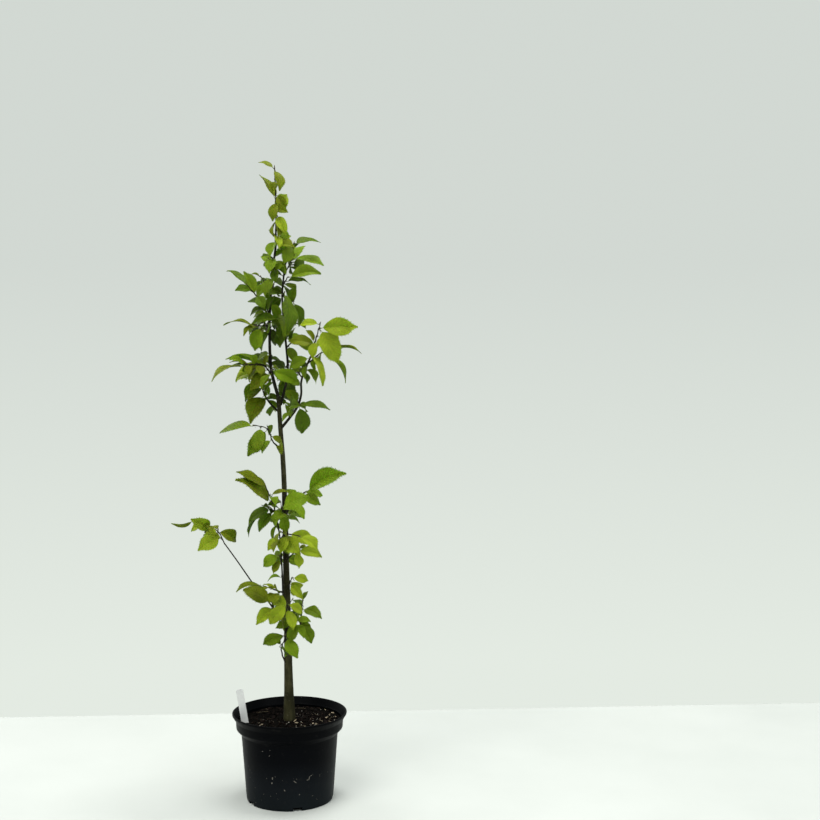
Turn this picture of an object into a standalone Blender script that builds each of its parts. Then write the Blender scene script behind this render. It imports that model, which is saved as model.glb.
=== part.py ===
"""A young european hornbeam, about a metre tall, in a round nursery pot.

The tables are in millimetres and the scene is in metres. X runs to the right of the front view,
Y away from it and Z up. The origin is the middle of the pot's underside.
"""

import math
import random

import bpy
from mathutils import Vector
from mathutils.bvhtree import BVHTree

MM = 0.001
GAP = 0.3                       # clearance between pieces that touch
TIP = "tip"                     # a limb or sprig that goes on from its parent's end

# Pot, a thin moulded one with a stepped collar under its rim
POT_SIDES = 40
POT_HEIGHT = 144.0
POT_FOOT_RADIUS = 70.5
POT_BODY_FOOT_RADIUS = 71.5
POT_FOOT_BEVEL = 5.0
POT_SHOULDER_HEIGHT = 110.0
POT_SHOULDER_RADIUS = 79.0
POT_COLLAR_HEIGHT = 118.6
POT_COLLAR_RADIUS = 87.2
POT_COLLAR_TOP_HEIGHT = 131.6
POT_COLLAR_TOP_RADIUS = 87.9
POT_LIP_RADIUS = 93.9
POT_WALL = 1.6
POT_LIP_DROP = 3.0
POT_FLOOR = 3.0
DRAIN_SLOTS = 5
DRAIN_FIRST_ANGLE = -57.5       # degrees from the front towards +X
DRAIN_WIDTH = 15.0
DRAIN_HEIGHT = 6.0
DRAIN_DEPTH = 10.0

# Soil, level where the trunk stands on it
SOIL_TOP = 130.0
SOIL_RINGS = (0.16, 0.36, 0.58, 0.8, 1.0)
SOIL_UNEVEN = 1.6
SOIL_WAVES = (13.0, 17.0, 11.0)
SOIL_LEVEL_SHARE = 0.16         # of the radius, level round the trunk
SOIL_ROUGH_SHARE = 0.46
SOIL_EDGE_SHARE = 0.8
SOIL_EDGE_DROP = 2.0
SOIL_FOOT_INSET = 1.0

# Plant label, a blank white tag pushed into the soil
LABEL_WIDTH = 11.5
LABEL_THICKNESS = 1.0
LABEL_LENGTH = 83.0
LABEL_SUNK = 26.0
LABEL_POINT = 9.0
LABEL_FOOT = (-71.0, -20.0)     # where it enters the soil
LABEL_LEAN = -9.0               # degrees, towards -X
LABEL_SLOT_LENGTH = 46.0        # from the foot up through the soil's top

# The eye that the front view is seen from
EYE = Vector((198.0, -2305.0, 804.0))

# Limbs: parent, height of the foot on it, then points (x, z, depth) as the front view shows them,
# then the foot's and the tip's diameter
LIMBS = {
    "trunk": (None, 0, [(-1, 130, 0), (-2, 250, 0), (-4, 370, 2), (-7, 530, 4), (-12, 608, 5),
                        (-15, 661, 6)], 14.5, 7.0),
    "leader": ("trunk", TIP, [(-27, 712, 3), (-28, 800, 0), (-21, 879, -4), (-18, 905, -5)],
               5.8, 3.2),
    "second_stem": ("trunk", 651, [(0, 698, 14), (-1, 732, 16), (-8, 820, 18), (-3, 874, 16)],
                    4.6, 2.8),
    "right_bough": ("trunk", 613, [(11, 639, -11), (21, 660, -22), (23, 692, -36), (38, 728, -48)],
                    4.8, 2.8),
    "left_bough": ("trunk", 639, [(-29, 652, 18), (-37, 664, 32)], 3.4, 2.6),
    "long_shoot": ("trunk", 273, [(-9, 300, -12), (-10, 350, -14), (-13, 418, -15),
                                  (-17, 451, -15), (-24, 486, -18)], 3.2, 2.2),
    "side_shoot": ("trunk", 281, [(-31, 323, -4), (-56, 353, 6), (-85, 395, 20), (-105, 423, 30)],
                   2.8, 2.0),
}
LIMB_SIDES = {"trunk": 12, "leader": 8, "second_stem": 8, "right_bough": 8}
THIN_LIMB_SIDES = 6
LIMB_RING_STEP = 22.0
CURVE_PARTS = 12                # straight parts that each stretch of a curve is measured by
TAPER_POWER = 1.3
ROOT_FLARE = 5.5                # added to the trunk's diameter at the soil
ROOT_FLARE_HEIGHT = 45.0

# Sprigs, each one mass of leaves: limb, height of the foot on it, points of the stem, then the
# leaves as (place along the stem in percent, heading in degrees from +X in the front view,
# length with its stalk, roll), where roll 0 faces the front, 90 lies level and 180 faces away.
# A fifth number is the lean out of the front view's plane, which the others draw from a range
SPRIGS = {
    "leader_tip": ("leader", TIP, [(-17, 965, -4), (-19, 1030, -2)],
                   [(1, -8, 32, 45), (4, 26, 26, 20), (7, -106, 28, 25), (8, 128, 20, 80),
                    (40, -64, 37, 12), (41, 64, 36, 0), (57, -98, 33, 0), (59, 124, 50, 64),
                    (98, -76, 37, 42), (100, 158, 29, 62)]),
    "leader_spur": ("leader", 868, [(-24, 886, 24)],
                    [(20, -30, 26, 120), (60, 155, 22, 30), (80, -42, 32, 60), (100, 22, 32, 125)]),
    "second_tip": ("second_stem", TIP, [(11, 909, 2)],
                   [(20, 35, 20, 60), (50, 48, 24, 110), (92, -116, 33, 0), (100, 4, 42, 66)]),
    "second_high": ("second_stem", 860, [(8, 884, 30)],
                    [(50, -35, 20, 110), (80, 62, 27, 30), (100, -12, 54, 58)]),
    "second_right": ("second_stem", 843, [(1, 855, -12)], [(50, -8, 42, 110), (100, 6, 54, 40)]),
    "leader_left_top": ("leader", 830, [(-42, 856, 24)],
                        [(30, -75, 34, 150), (45, 172, 18, 100), (100, 165, 16, 70)]),
    "leader_left_high": ("leader", 799, [(-41, 815, -14), (-64, 842, -34)],
                         [(45, -62, 22, 10), (60, 119, 45, 20), (78, 178, 26, 50),
                          (100, 146, 43, 72)]),
    "leader_left_mid": ("leader", 787, [(-36, 806, -26)],
                        [(25, -50, 26, 130), (60, 65, 30, 120), (100, -152, 27, 60, 12)]),
    "second_spur": ("second_stem", 805, [(10, 817, -8)], [(60, 66, 30, 10), (100, -80, 42, 55)]),
    "second_front": ("second_stem", 822, [(-4, 832, -24)],
                     [(20, -140, 38, 130), (55, 165, 26, 130), (100, -84, 68, 58)]),
    "second_left": ("second_stem", 781, [(-12, 789, -18)],
                    [(60, -95, 30, 140), (100, -168, 46, 30)]),
    "leader_left_low": ("leader", 777, [(-50, 777, -40)],
                        [(35, -112, 30, 30), (68, -103, 41, 16), (80, -145, 28, 60),
                         (100, 180, 54, 88)]),
    "right_bough_tip": ("right_bough", TIP, [(53, 780, -66)],
                        [(8, -71, 54, 66), (35, 172, 42, 30), (42, 125, 24, 60),
                         (86, -62, 62, 4), (84, 3, 62, 0), (100, -178, 32, 48)]),
    "right_bough_side": ("right_bough", 719, [(56, 734, -28), (67, 731, -16)],
                         [(75, -1, 60, 88), (100, -61, 54, 80)]),
    "second_low": ("second_stem", 742, [(14, 758, -8)],
                   [(15, -70, 30, 30), (40, 75, 26, 60), (70, -10, 26, 110), (100, -34, 36, 25, -16)]),
    "right_bough_inner": ("right_bough", 705, [(37, 726, -78)],
                          [(55, -100, 24, 120), (100, -152, 38, 20)]),
    "leader_left_cluster": ("leader", 699, [(-40, 714, -10), (-70, 714, -34)],
                            [(5, -137, 40, 18), (16, -160, 60, 42), (30, 170, 64, 80, -6),
                             (82, -169, 38, 80, 12), (100, -152, 55, 78, -16)]),
    "leader_front": ("leader", 695, [(-26, 706, -50)], [(60, -120, 30, 50), (100, -28, 47, 5)]),
    "second_base": ("second_stem", 689, [(6, 702, 34)],
                    [(50, 28, 26, 60), (75, -97, 32, 120), (100, -95, 56, 20, 10)]),
    "left_bough_tip": ("left_bough", TIP, [(-46, 690, 48)],
                       [(5, -114, 50, 10), (18, 45, 24, 120), (50, -135, 32, 40),
                        (80, -60, 26, 140), (100, -122, 42, 130)]),
    "right_bough_low": ("right_bough", 635, [(19, 650, -52)],
                        [(30, -140, 24, 60), (92, -86, 47, 30), (100, -9, 50, 60)]),
    "trunk_left": ("trunk", 578, [(-25, 590, -18), (-33, 610, -36), (-54, 616, -52)],
                   [(38, -124, 27, 40), (50, -48, 28, 70), (66, -127, 52, 0),
                    (100, -167, 60, 76)]),
    "long_shoot_tip": ("long_shoot", TIP, [(-36, 514, -34)],
                       [(14, 144, 69, 56), (55, 4, 36, 74), (100, 150, 54, 66)]),
    "trunk_right": ("trunk", 475, [(6, 490, 6), (27, 507, 24)],
                    [(30, -48, 32, 60), (80, -29, 36, 30), (100, 25, 77, 28)]),
    "trunk_front": ("trunk", 467, [(-12, 482, -52)],
                    [(30, 160, 30, 100, 14), (60, -82, 36, 12), (100, 19, 50, 28)]),
    "long_shoot_left": ("long_shoot", 476, [(-31, 483, 10)],
                        [(30, -124, 40, 20), (60, -150, 44, 40), (100, -125, 66, 74, 24)]),
    "trunk_front_low": ("long_shoot", 428, [(-6, 438, -38), (17, 435, -56)],
                        [(5, -150, 24, 110), (20, -139, 30, 50), (35, -42, 40, 0),
                         (60, -24, 44, 30), (100, -36, 38, 45)]),
    "trunk_right_low": ("trunk", 397, [(13, 411, -36)], [(95, -80, 28, 30), (100, -20, 42, 30)]),
    "long_shoot_mid": ("long_shoot", 390, [(-15, 403, -46)],
                       [(60, -116, 24, 30), (100, -144, 34, 30)]),
    "trunk_right_mid": ("trunk", 350, [(5, 366, -36)], [(45, -48, 34, 10), (100, -12, 27, 10)]),
    "long_shoot_low": ("long_shoot", 345, [(-40, 352, -44)],
                       [(8, -125, 24, 20), (40, 165, 22, 80), (100, -172, 44, 86)]),
    "side_shoot_low": ("side_shoot", 308, [(-28, 325, -34)],
                       [(60, -136, 36, 20), (100, 163, 52, 20)]),
    "trunk_front_base": ("trunk", 305, [(-3, 324, -50)], [(60, -71, 34, 30), (100, -129, 46, 5)]),
    "trunk_right_base": ("trunk", 260, [(18, 288, 12), (22, 328, 26)],
                         [(45, -58, 36, 36), (62, -80, 30, 20), (80, -20, 36, 40),
                          (100, 60, 18, 60)]),
    "trunk_base_front": ("trunk", 283, [(12, 296, -34)], [(60, -50, 28, 60), (100, -104, 38, 10)]),
    "trunk_lowest": ("trunk", 230, [(-13, 248, -6), (-4, 272, -26)],
                     [(88, -58, 38, 8), (100, -155, 43, 6)]),
    "side_shoot_tip": ("side_shoot", TIP, [(-114, 441, 33), (-127, 449, 34), (-154, 458, 28)],
                       [(16, -152, 42, 6), (33, -38, 34, 38), (52, 148, 36, 15),
                        (75, -150, 24, 50), (100, -178, 38, -60)]),
}

# Sprigs that fill the side away from the front: limb, height of the foot, x and depth of the tip,
# number of leaves
FAR_SPRIGS = {
    "leader_far_high": ("leader", 828, -20, 58, 4),
    "leader_far_mid": ("leader", 760, -38, 72, 5),
    "second_far": ("second_stem", 764, 8, 84, 5),
    "leader_far_low": ("leader", 700, -34, 84, 5),
    "bough_far": ("right_bough", 694, 12, 40, 4),
    "trunk_far_high": ("trunk", 640, -16, 76, 4),
    "trunk_far_mid": ("trunk", 448, -6, 84, 5),
    "trunk_far_low": ("trunk", 386, -8, 66, 4),
    "trunk_far_base": ("trunk", 296, 0, 76, 5),
}
FAR_RISE = 0.35                 # of its reach
FAR_FIRST_LEAF = 40.0
FAR_LENGTHS = (24.0, 38.0)      # as the front view shows them
FAR_ROLLS = (40.0, 110.0)
FAR_SPREAD = (20.0, 80.0)
FAR_LEAN = (25.0, 60.0)

SPRIG_SIDES = 5
SPRIG_FOOT_DIAMETER = 2.6
SPRIG_TIP_DIAMETER = 1.4
SPRIG_RING_STEP = 9.0

PETIOLE_SHARE = 0.1             # petiole length as a share of the leaf, and what is added
PETIOLE_EXTRA = 1.5
PETIOLE_BEND = 0.3              # how much the petiole turns along its stem
PETIOLE_WIDTH = 1.3
LEAF_FOLD = 20.0                # degrees that each half of the blade rises from its midrib
LEAF_ARCH = 0.09                # height of the midrib's arch as a share of the blade
LEAF_THICKNESS = 0.022          # as a share of the blade's length
LEAF_LEAST_THICKNESS = 0.4
LEAF_WIDTH_SHARE = 0.42         # widest place as a share of the length, and what is added
LEAF_WIDTH_EXTRA = 6.0
LEAF_WIDEST = 0.42              # where the widest place lies along the blade
LEAF_FULLNESS = 0.75            # lower is a blunter outline
LEAF_STATIONS = (0.0, 0.12, 0.4, 0.7, 0.9)
LEAF_LEAN = (8.0, 30.0)         # degrees out of the front view's plane
LEAF_CLEARANCE = 0.7            # how far each blade keeps from the rest
LAST_ROOT = 0.985               # share of the stem that the last leaf grows from

# What is tried in turn where a leaf would touch: change of lean, change of roll, size
TRIES = ((0, 0, 1.0), (12, 0, 1.0), (-12, 0, 1.0), (0, 20, 1.0), (0, -20, 1.0), (24, 15, 1.0),
         (-24, -15, 1.0), (24, -20, 1.0), (-24, 20, 1.0), (40, 0, 0.95), (-40, 0, 0.95),
         (0, 45, 0.9), (0, -45, 0.9), (30, 30, 0.8), (-30, -30, 0.8), (0, 0, 0.75),
         (50, 25, 0.75), (-50, -25, 0.75), (15, 60, 0.65), (-15, -60, 0.65))

# Base colour and roughness of each material
COLOURS = {
    "pot": ((0.012, 0.013, 0.014), 0.5),
    "soil": ((0.055, 0.035, 0.022), 0.95),
    "label": ((0.8, 0.8, 0.78), 0.5),
    "bark": ((0.13, 0.1, 0.075), 0.8),
    "leaf": ((0.17, 0.32, 0.04), 0.5),
}


class Limb:
    """A round tapering limb: the points of its axis, its radius at each, and its foot's cut."""

    def __init__(self, axis, radii, cut_normal):
        self.axis = axis
        self.radii = radii
        self.cut_normal = cut_normal

    def direction(self, index):
        """Direction of the axis at one of its points."""
        before = self.axis[max(index - 1, 0)]
        after = self.axis[min(index + 1, len(self.axis) - 1)]
        return (after - before).normalized()

    def along(self, share):
        """Point, direction and radius at a share of the length."""
        lengths = [0.0]
        for start, end in zip(self.axis, self.axis[1:]):
            lengths.append(lengths[-1] + (end - start).length)
        wanted = share * lengths[-1]
        index = 0
        while index < len(self.axis) - 2 and lengths[index + 1] < wanted:
            index += 1
        step = lengths[index + 1] - lengths[index]
        blend = (wanted - lengths[index]) / step
        point = self.axis[index].lerp(self.axis[index + 1], blend)
        radius = self.radii[index] * (1 - blend) + self.radii[index + 1] * blend
        direction = (self.axis[index + 1] - self.axis[index]).normalized()
        return point, direction, radius

    def at_height(self, height):
        """Point, direction and radius where a rising limb passes a height."""
        for index in range(len(self.axis) - 1):
            low, high = self.axis[index], self.axis[index + 1]
            if low.z <= height <= high.z:
                blend = (height - low.z) / (high.z - low.z)
                radius = self.radii[index] * (1 - blend) + self.radii[index + 1] * blend
                return low.lerp(high, blend), (high - low).normalized(), radius
        raise ValueError("the limb doesn't pass this height")


def place(x, z, depth):
    """Where a point of the front view lies, slid along the line of sight to its depth."""
    seen = Vector((x, 0.0, z))
    return seen + (seen - EYE) * (depth / -EYE.y)


def smooth(points, step):
    """Evenly spaced points on a Catmull-Rom curve through the given ones."""
    ends = [points[0] * 2 - points[1]] + points + [points[-1] * 2 - points[-2]]
    fine = []
    for a, b, c, d in zip(ends, ends[1:], ends[2:], ends[3:]):
        for part in range(CURVE_PARTS):
            t = part / CURVE_PARTS
            fine.append(0.5 * (2 * b + (c - a) * t + (2 * a - 5 * b + 4 * c - d) * t ** 2
                               + (3 * b - a - 3 * c + d) * t ** 3))
    fine.append(points[-1].copy())
    lengths = [0.0]
    for start, end in zip(fine, fine[1:]):
        lengths.append(lengths[-1] + (end - start).length)
    count = max(2, round(lengths[-1] / step))
    even, index = [], 0
    for number in range(count + 1):
        wanted = lengths[-1] * number / count
        while index < len(fine) - 2 and lengths[index + 1] < wanted:
            index += 1
        blend = (wanted - lengths[index]) / (lengths[index + 1] - lengths[index])
        even.append(fine[index].lerp(fine[index + 1], min(max(blend, 0.0), 1.0)))
    return even


def grow_limb(parent, height, points, diameters, step, flare=0.0):
    """A limb from its parent's bark, or on from its tip, through the given points."""
    if parent is None:
        start, normal = points[0] + Vector((0, 0, GAP)), Vector((0, 0, 1))
        points = points[1:]
    elif height == TIP:
        normal = parent.direction(len(parent.axis) - 1)
        start = parent.axis[-1] + normal * GAP
    else:
        middle, direction, radius = parent.at_height(height)
        outward = points[0] - middle
        normal = (outward - direction * outward.dot(direction)).normalized()
        start = middle + normal * (radius + GAP)
    axis = smooth([start] + points, step)
    foot, tip = diameters
    radii = []
    for index, point in enumerate(axis):
        share = index / (len(axis) - 1)
        diameter = tip + (foot - tip) * (1 - share) ** TAPER_POWER
        diameter += flare * math.exp((start.z - point.z) / ROOT_FLARE_HEIGHT)
        radii.append(diameter / 2)
    return Limb(axis, radii, normal)


def tube(limb, sides):
    """Corners and faces of a limb's solid, its foot cut flush with what it grows from."""
    corners, faces = [], []
    across = Vector((1, 0, 0))
    for index, (middle, radius) in enumerate(zip(limb.axis, limb.radii)):
        direction = limb.direction(index)
        across = (across - direction * across.dot(direction)).normalized()
        over = direction.cross(across)
        for side in range(sides):
            angle = math.tau * side / sides
            corner = middle + (across * math.cos(angle) + over * math.sin(angle)) * radius
            if index == 0:
                slide = (middle - corner).dot(limb.cut_normal) / direction.dot(limb.cut_normal)
                corner += direction * slide
            corners.append(corner)
    rings = len(limb.axis)
    faces.append(tuple(reversed(range(sides))))
    faces.append(tuple(range((rings - 1) * sides, rings * sides)))
    for ring in range(rings - 1):
        for side in range(sides):
            a = ring * sides + side
            b = ring * sides + (side + 1) % sides
            faces.append((a, b, b + sides, a + sides))
    return corners, faces


def blade_share(t):
    """Half width of a hornbeam leaf at a share of its length, where the widest place is 1."""
    return math.sin(math.pi * t ** (math.log(0.5) / math.log(LEAF_WIDEST))) ** LEAF_FULLNESS


class Leaf:
    """Place and shape of one leaf: root in the stem, foot of the blade, axes and sizes."""

    def __init__(self, root, stem_direction, heading, lean, length, roll):
        turn, tilt, tip_over = math.radians(heading), math.radians(lean), math.radians(roll)
        reach = Vector((math.cos(turn), math.tan(tilt), math.sin(turn))) * length
        petiole = PETIOLE_SHARE * length + PETIOLE_EXTRA
        bend = reach.normalized() + stem_direction * PETIOLE_BEND
        self.root = root
        self.foot = root + bend.normalized() * petiole
        self.length = (root + reach - self.foot).length
        self.forward = (root + reach - self.foot).normalized()
        front = Vector((0, -1, 0))
        front = (front - self.forward * front.dot(self.forward)).normalized()
        level = self.forward.cross(front)
        if level.z < 0:
            level = -level
        self.up = front * math.cos(tip_over) + level * math.sin(tip_over)
        self.across = self.up.cross(self.forward)
        self.half_width = (LEAF_WIDTH_SHARE * self.length + LEAF_WIDTH_EXTRA) / 2
        self.arch = LEAF_ARCH * self.length * min(1.0, 1.2 - self.forward.z)

    def middle(self, t):
        """A point of the midrib."""
        return self.foot + self.forward * (self.length * t) + self.up * (self.arch * 4 * t * (1 - t))

    def solid(self, extra=0.0, blade_only=False):
        """Corners and triangles of the closed leaf, fatter by extra where it tests its room."""
        fold = math.radians(LEAF_FOLD)
        corners = []
        for t in LEAF_STATIONS:
            half = max(self.half_width * blade_share(t), PETIOLE_WIDTH / 2) + extra
            thick = max(LEAF_THICKNESS * self.length * (1 - 0.5 * t), LEAF_LEAST_THICKNESS) / 2 + extra
            middle = self.middle(t)
            edge = self.up * (half * math.sin(fold))
            side = self.across * (half * math.cos(fold))
            corners += [middle - side + edge, middle - self.up * thick,
                        middle + side + edge, middle + self.up * thick]
        if not blade_only:
            half = PETIOLE_WIDTH / 2
            corners = [self.root - self.across * half, self.root - self.up * half,
                       self.root + self.across * half, self.root + self.up * half] + corners
        corners.append(self.middle(1.0))
        rings = (len(corners) - 1) // 4
        faces = [(0, 2, 1), (0, 3, 2)]
        for ring in range(rings - 1):
            for side in range(4):
                a = ring * 4 + side
                b = ring * 4 + (side + 1) % 4
                faces += [(a, b, b + 4), (a, b + 4, a + 4)]
        last = (rings - 1) * 4
        for side in range(4):
            faces.append((last + side, last + (side + 1) % 4, len(corners) - 1))
        return corners, faces


def tree_of(solid):
    """A search tree of a solid's faces."""
    corners, faces = solid
    return BVHTree.FromPolygons([tuple(corner) for corner in corners], faces)


def far_sprig(name):
    """Points and leaves of a sprig on the far side, by a seeded rule."""
    limb, height, x, depth, count = FAR_SPRIGS[name]
    chance = random.Random(name)
    leaves = []
    for number in range(count):
        along = FAR_FIRST_LEAF + (100 - FAR_FIRST_LEAF) * number / (count - 1)
        spread = chance.uniform(*FAR_SPREAD)
        heading = -90 + (spread if number % 2 else -spread)
        leaves.append((along, heading, chance.uniform(*FAR_LENGTHS), chance.uniform(*FAR_ROLLS),
                       chance.uniform(*FAR_LEAN)))
    return limb, height, [(x, height + FAR_RISE * depth, depth)], leaves


def lay_out():
    """Every limb, sprig stem and leaf of the plant."""
    limbs = {}
    for name, (parent, height, points, foot, tip) in LIMBS.items():
        flare = ROOT_FLARE if name == "trunk" else 0.0
        limbs[name] = grow_limb(limbs.get(parent), height, [place(*point) for point in points],
                                (foot, tip), LIMB_RING_STEP, flare)
    sprigs = dict(SPRIGS)
    for name in FAR_SPRIGS:
        sprigs[name] = far_sprig(name)
    stems = {}
    for name, (limb, height, points, _) in sprigs.items():
        foot = SPRIG_FOOT_DIAMETER
        if height == TIP:
            foot = limbs[limb].radii[-1] * 2
        stems[name] = grow_limb(limbs[limb], height, [place(*point) for point in points],
                                (foot, SPRIG_TIP_DIAMETER), SPRIG_RING_STEP)
    taken = {name: [tree_of(tube(limb, THIN_LIMB_SIDES))] for name, limb in limbs.items()}
    taken.update({name: [tree_of(tube(stem, SPRIG_SIDES))] for name, stem in stems.items()})
    leaves = {}
    for name, (_, _, _, table) in sprigs.items():
        leaves[name] = place_leaves(name, stems[name], table, taken)
    return limbs, stems, leaves


def place_leaves(name, stem, table, taken):
    """The leaves of one sprig that find room, each added to the space that is taken."""
    chance = random.Random(name)
    placed = []
    for number, row in enumerate(table):
        along, heading, length, roll = row[:4]
        root, direction, _ = stem.along(min(along / 100, LAST_ROOT))
        lean = chance.uniform(*LEAF_LEAN) * (1 if number % 2 else -1)
        if len(row) > 4:
            lean = row[4]
        for more_lean, more_roll, size in TRIES:
            leaf = Leaf(root, direction, heading, lean + more_lean, length * size, roll + more_roll)
            if has_room(leaf, name, taken):
                placed.append(leaf)
                taken[name].append(tree_of(leaf.solid(blade_only=True)))
                break
    return placed


def has_room(leaf, name, taken):
    """Whether a leaf is clear of every limb and of every other leaf."""
    blade = tree_of(leaf.solid(LEAF_CLEARANCE, blade_only=True))
    whole = tree_of(leaf.solid(LEAF_CLEARANCE))
    for owner, trees in taken.items():
        test = blade if owner == name else whole
        if any(test.overlap(tree) for tree in trees):
            return False
    return True


def material(name):
    """A plain material with the part's colour and roughness."""
    made = bpy.data.materials.new(name)
    made.use_nodes = True
    surface = made.node_tree.nodes["Principled BSDF"]
    colour, roughness = COLOURS[name]
    surface.inputs["Base Color"].default_value = (*colour, 1.0)
    surface.inputs["Roughness"].default_value = roughness
    surface.inputs["Metallic"].default_value = 0.0
    return made


def make_object(name, solid, paint, smooth_angle=40.0):
    """An object from corners in millimetres and faces."""
    corners, faces = solid
    mesh = bpy.data.meshes.new(name)
    mesh.from_pydata([tuple(corner * MM) for corner in corners], [], faces)
    mesh.materials.append(paint)
    mesh.shade_smooth()
    mesh.set_sharp_from_angle(angle=math.radians(smooth_angle))
    made = bpy.data.objects.new(name, mesh)
    bpy.context.scene.collection.objects.link(made)
    return made


def fuse_mass(name, stem, leaves, paint):
    """One closed solid of a sprig's stem and its leaves."""
    mass = make_object(name, tube(stem, SPRIG_SIDES), paint)
    parts = bpy.data.collections.new(name + "_leaves")
    bpy.context.scene.collection.children.link(parts)
    for number, leaf in enumerate(leaves):
        blade = make_object("%s_leaf_%d" % (name, number), leaf.solid(), paint)
        bpy.context.scene.collection.objects.unlink(blade)
        parts.objects.link(blade)
    fuse = mass.modifiers.new("fuse", "BOOLEAN")
    fuse.operation = "UNION"
    fuse.operand_type = "COLLECTION"
    fuse.collection = parts
    fuse.solver = "EXACT"
    bake_modifiers(mass)
    for blade in list(parts.objects):
        bpy.data.objects.remove(blade)
    bpy.data.collections.remove(parts)
    return mass


def bake_modifiers(thing):
    """Keep an object's evaluated mesh and drop its modifiers."""
    evaluated = thing.evaluated_get(bpy.context.evaluated_depsgraph_get())
    mesh = bpy.data.meshes.new_from_object(evaluated)
    thing.modifiers.clear()
    thing.data = mesh


def turned(profile, sides):
    """Corners and faces of a closed profile (radius, height) turned round the Z axis."""
    corners, faces = [], []
    for side in range(sides):
        angle = math.tau * side / sides
        for radius, height in profile:
            corners.append(Vector((radius * math.cos(angle), radius * math.sin(angle), height)))
    count = len(profile)
    for side in range(sides):
        here, there = side * count, (side + 1) % sides * count
        for index in range(count - 1):
            faces.append((here + index, there + index, there + index + 1, here + index + 1))
    faces.append(tuple(side * count for side in reversed(range(sides))))
    faces.append(tuple(side * count + count - 1 for side in range(sides)))
    return corners, faces


def pot_inner_radius(height):
    """Radius of the pot's inside at a height."""
    share = (height - POT_FOOT_BEVEL) / (POT_SHOULDER_HEIGHT - POT_FOOT_BEVEL)
    wall = POT_BODY_FOOT_RADIUS + (POT_SHOULDER_RADIUS - POT_BODY_FOOT_RADIUS) * share
    if height > POT_SHOULDER_HEIGHT:
        share = (height - POT_SHOULDER_HEIGHT) / (POT_COLLAR_HEIGHT - POT_SHOULDER_HEIGHT)
        wall = POT_SHOULDER_RADIUS + (POT_COLLAR_RADIUS - POT_SHOULDER_RADIUS) * min(share, 1.0)
    return wall - POT_WALL


def box(width, depth, height):
    """Corners and faces of a box that stands on the origin."""
    corners = []
    for z in (0.0, height):
        for x, y in ((-1, -1), (1, -1), (1, 1), (-1, 1)):
            corners.append(Vector((x * width / 2, y * depth / 2, z)))
    faces = [(3, 2, 1, 0), (4, 5, 6, 7)]
    faces += [(i, (i + 1) % 4, (i + 1) % 4 + 4, i + 4) for i in range(4)]
    return corners, faces


def cut(thing, cutter):
    """Cut one object out of another for good."""
    cutter.hide_render = True
    cutter.display_type = "WIRE"
    hole = thing.modifiers.new("cut", "BOOLEAN")
    hole.operation = "DIFFERENCE"
    hole.object = cutter
    hole.solver = "EXACT"
    bake_modifiers(thing)
    bpy.data.objects.remove(cutter)


def make_pot(paint):
    """The pot, a turned shell with drain slots through the edge of its floor."""
    profile = [
        (POT_FOOT_RADIUS, 0.0),
        (POT_BODY_FOOT_RADIUS, POT_FOOT_BEVEL),
        (POT_SHOULDER_RADIUS, POT_SHOULDER_HEIGHT),
        (POT_COLLAR_RADIUS, POT_COLLAR_HEIGHT),
        (POT_COLLAR_TOP_RADIUS, POT_COLLAR_TOP_HEIGHT),
        (POT_LIP_RADIUS, POT_HEIGHT - POT_LIP_DROP),
        (POT_LIP_RADIUS, POT_HEIGHT),
        (POT_LIP_RADIUS - POT_WALL, POT_HEIGHT),
        (POT_COLLAR_TOP_RADIUS - POT_WALL, POT_COLLAR_TOP_HEIGHT),
        (POT_COLLAR_RADIUS - POT_WALL, POT_COLLAR_HEIGHT),
        (POT_SHOULDER_RADIUS - POT_WALL, POT_SHOULDER_HEIGHT),
        (pot_inner_radius(POT_FLOOR), POT_FLOOR),
    ]
    pot = make_object("pot", turned(profile, POT_SIDES), paint, smooth_angle=25.0)
    for number in range(DRAIN_SLOTS):
        angle = math.radians(DRAIN_FIRST_ANGLE + 360 / DRAIN_SLOTS * number - 90)
        slot = make_object("drain_slot", box(2 * DRAIN_DEPTH, DRAIN_WIDTH, 2 * DRAIN_HEIGHT), paint)
        slot.location = Vector((POT_BODY_FOOT_RADIUS * math.cos(angle),
                                POT_BODY_FOOT_RADIUS * math.sin(angle), -DRAIN_HEIGHT)) * MM
        slot.rotation_euler = (0, 0, angle)
        bpy.context.view_layer.update()
        cut(pot, slot)
    return pot


def soil_height(x, y, share):
    """Height of the soil: level round the trunk, uneven further out, lower at the edge."""
    first, second, third = SOIL_WAVES
    bumps = math.sin(x / first + 1) * math.cos(y / second) + 0.5 * math.sin((x + 2 * y) / third)
    amount = (share - SOIL_LEVEL_SHARE) / (SOIL_ROUGH_SHARE - SOIL_LEVEL_SHARE)
    rough = SOIL_UNEVEN * bumps / 1.5 * min(max(amount, 0.0), 1.0)
    return SOIL_TOP + rough - SOIL_EDGE_DROP * max(share - SOIL_EDGE_SHARE, 0.0) / (1 - SOIL_EDGE_SHARE)


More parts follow.
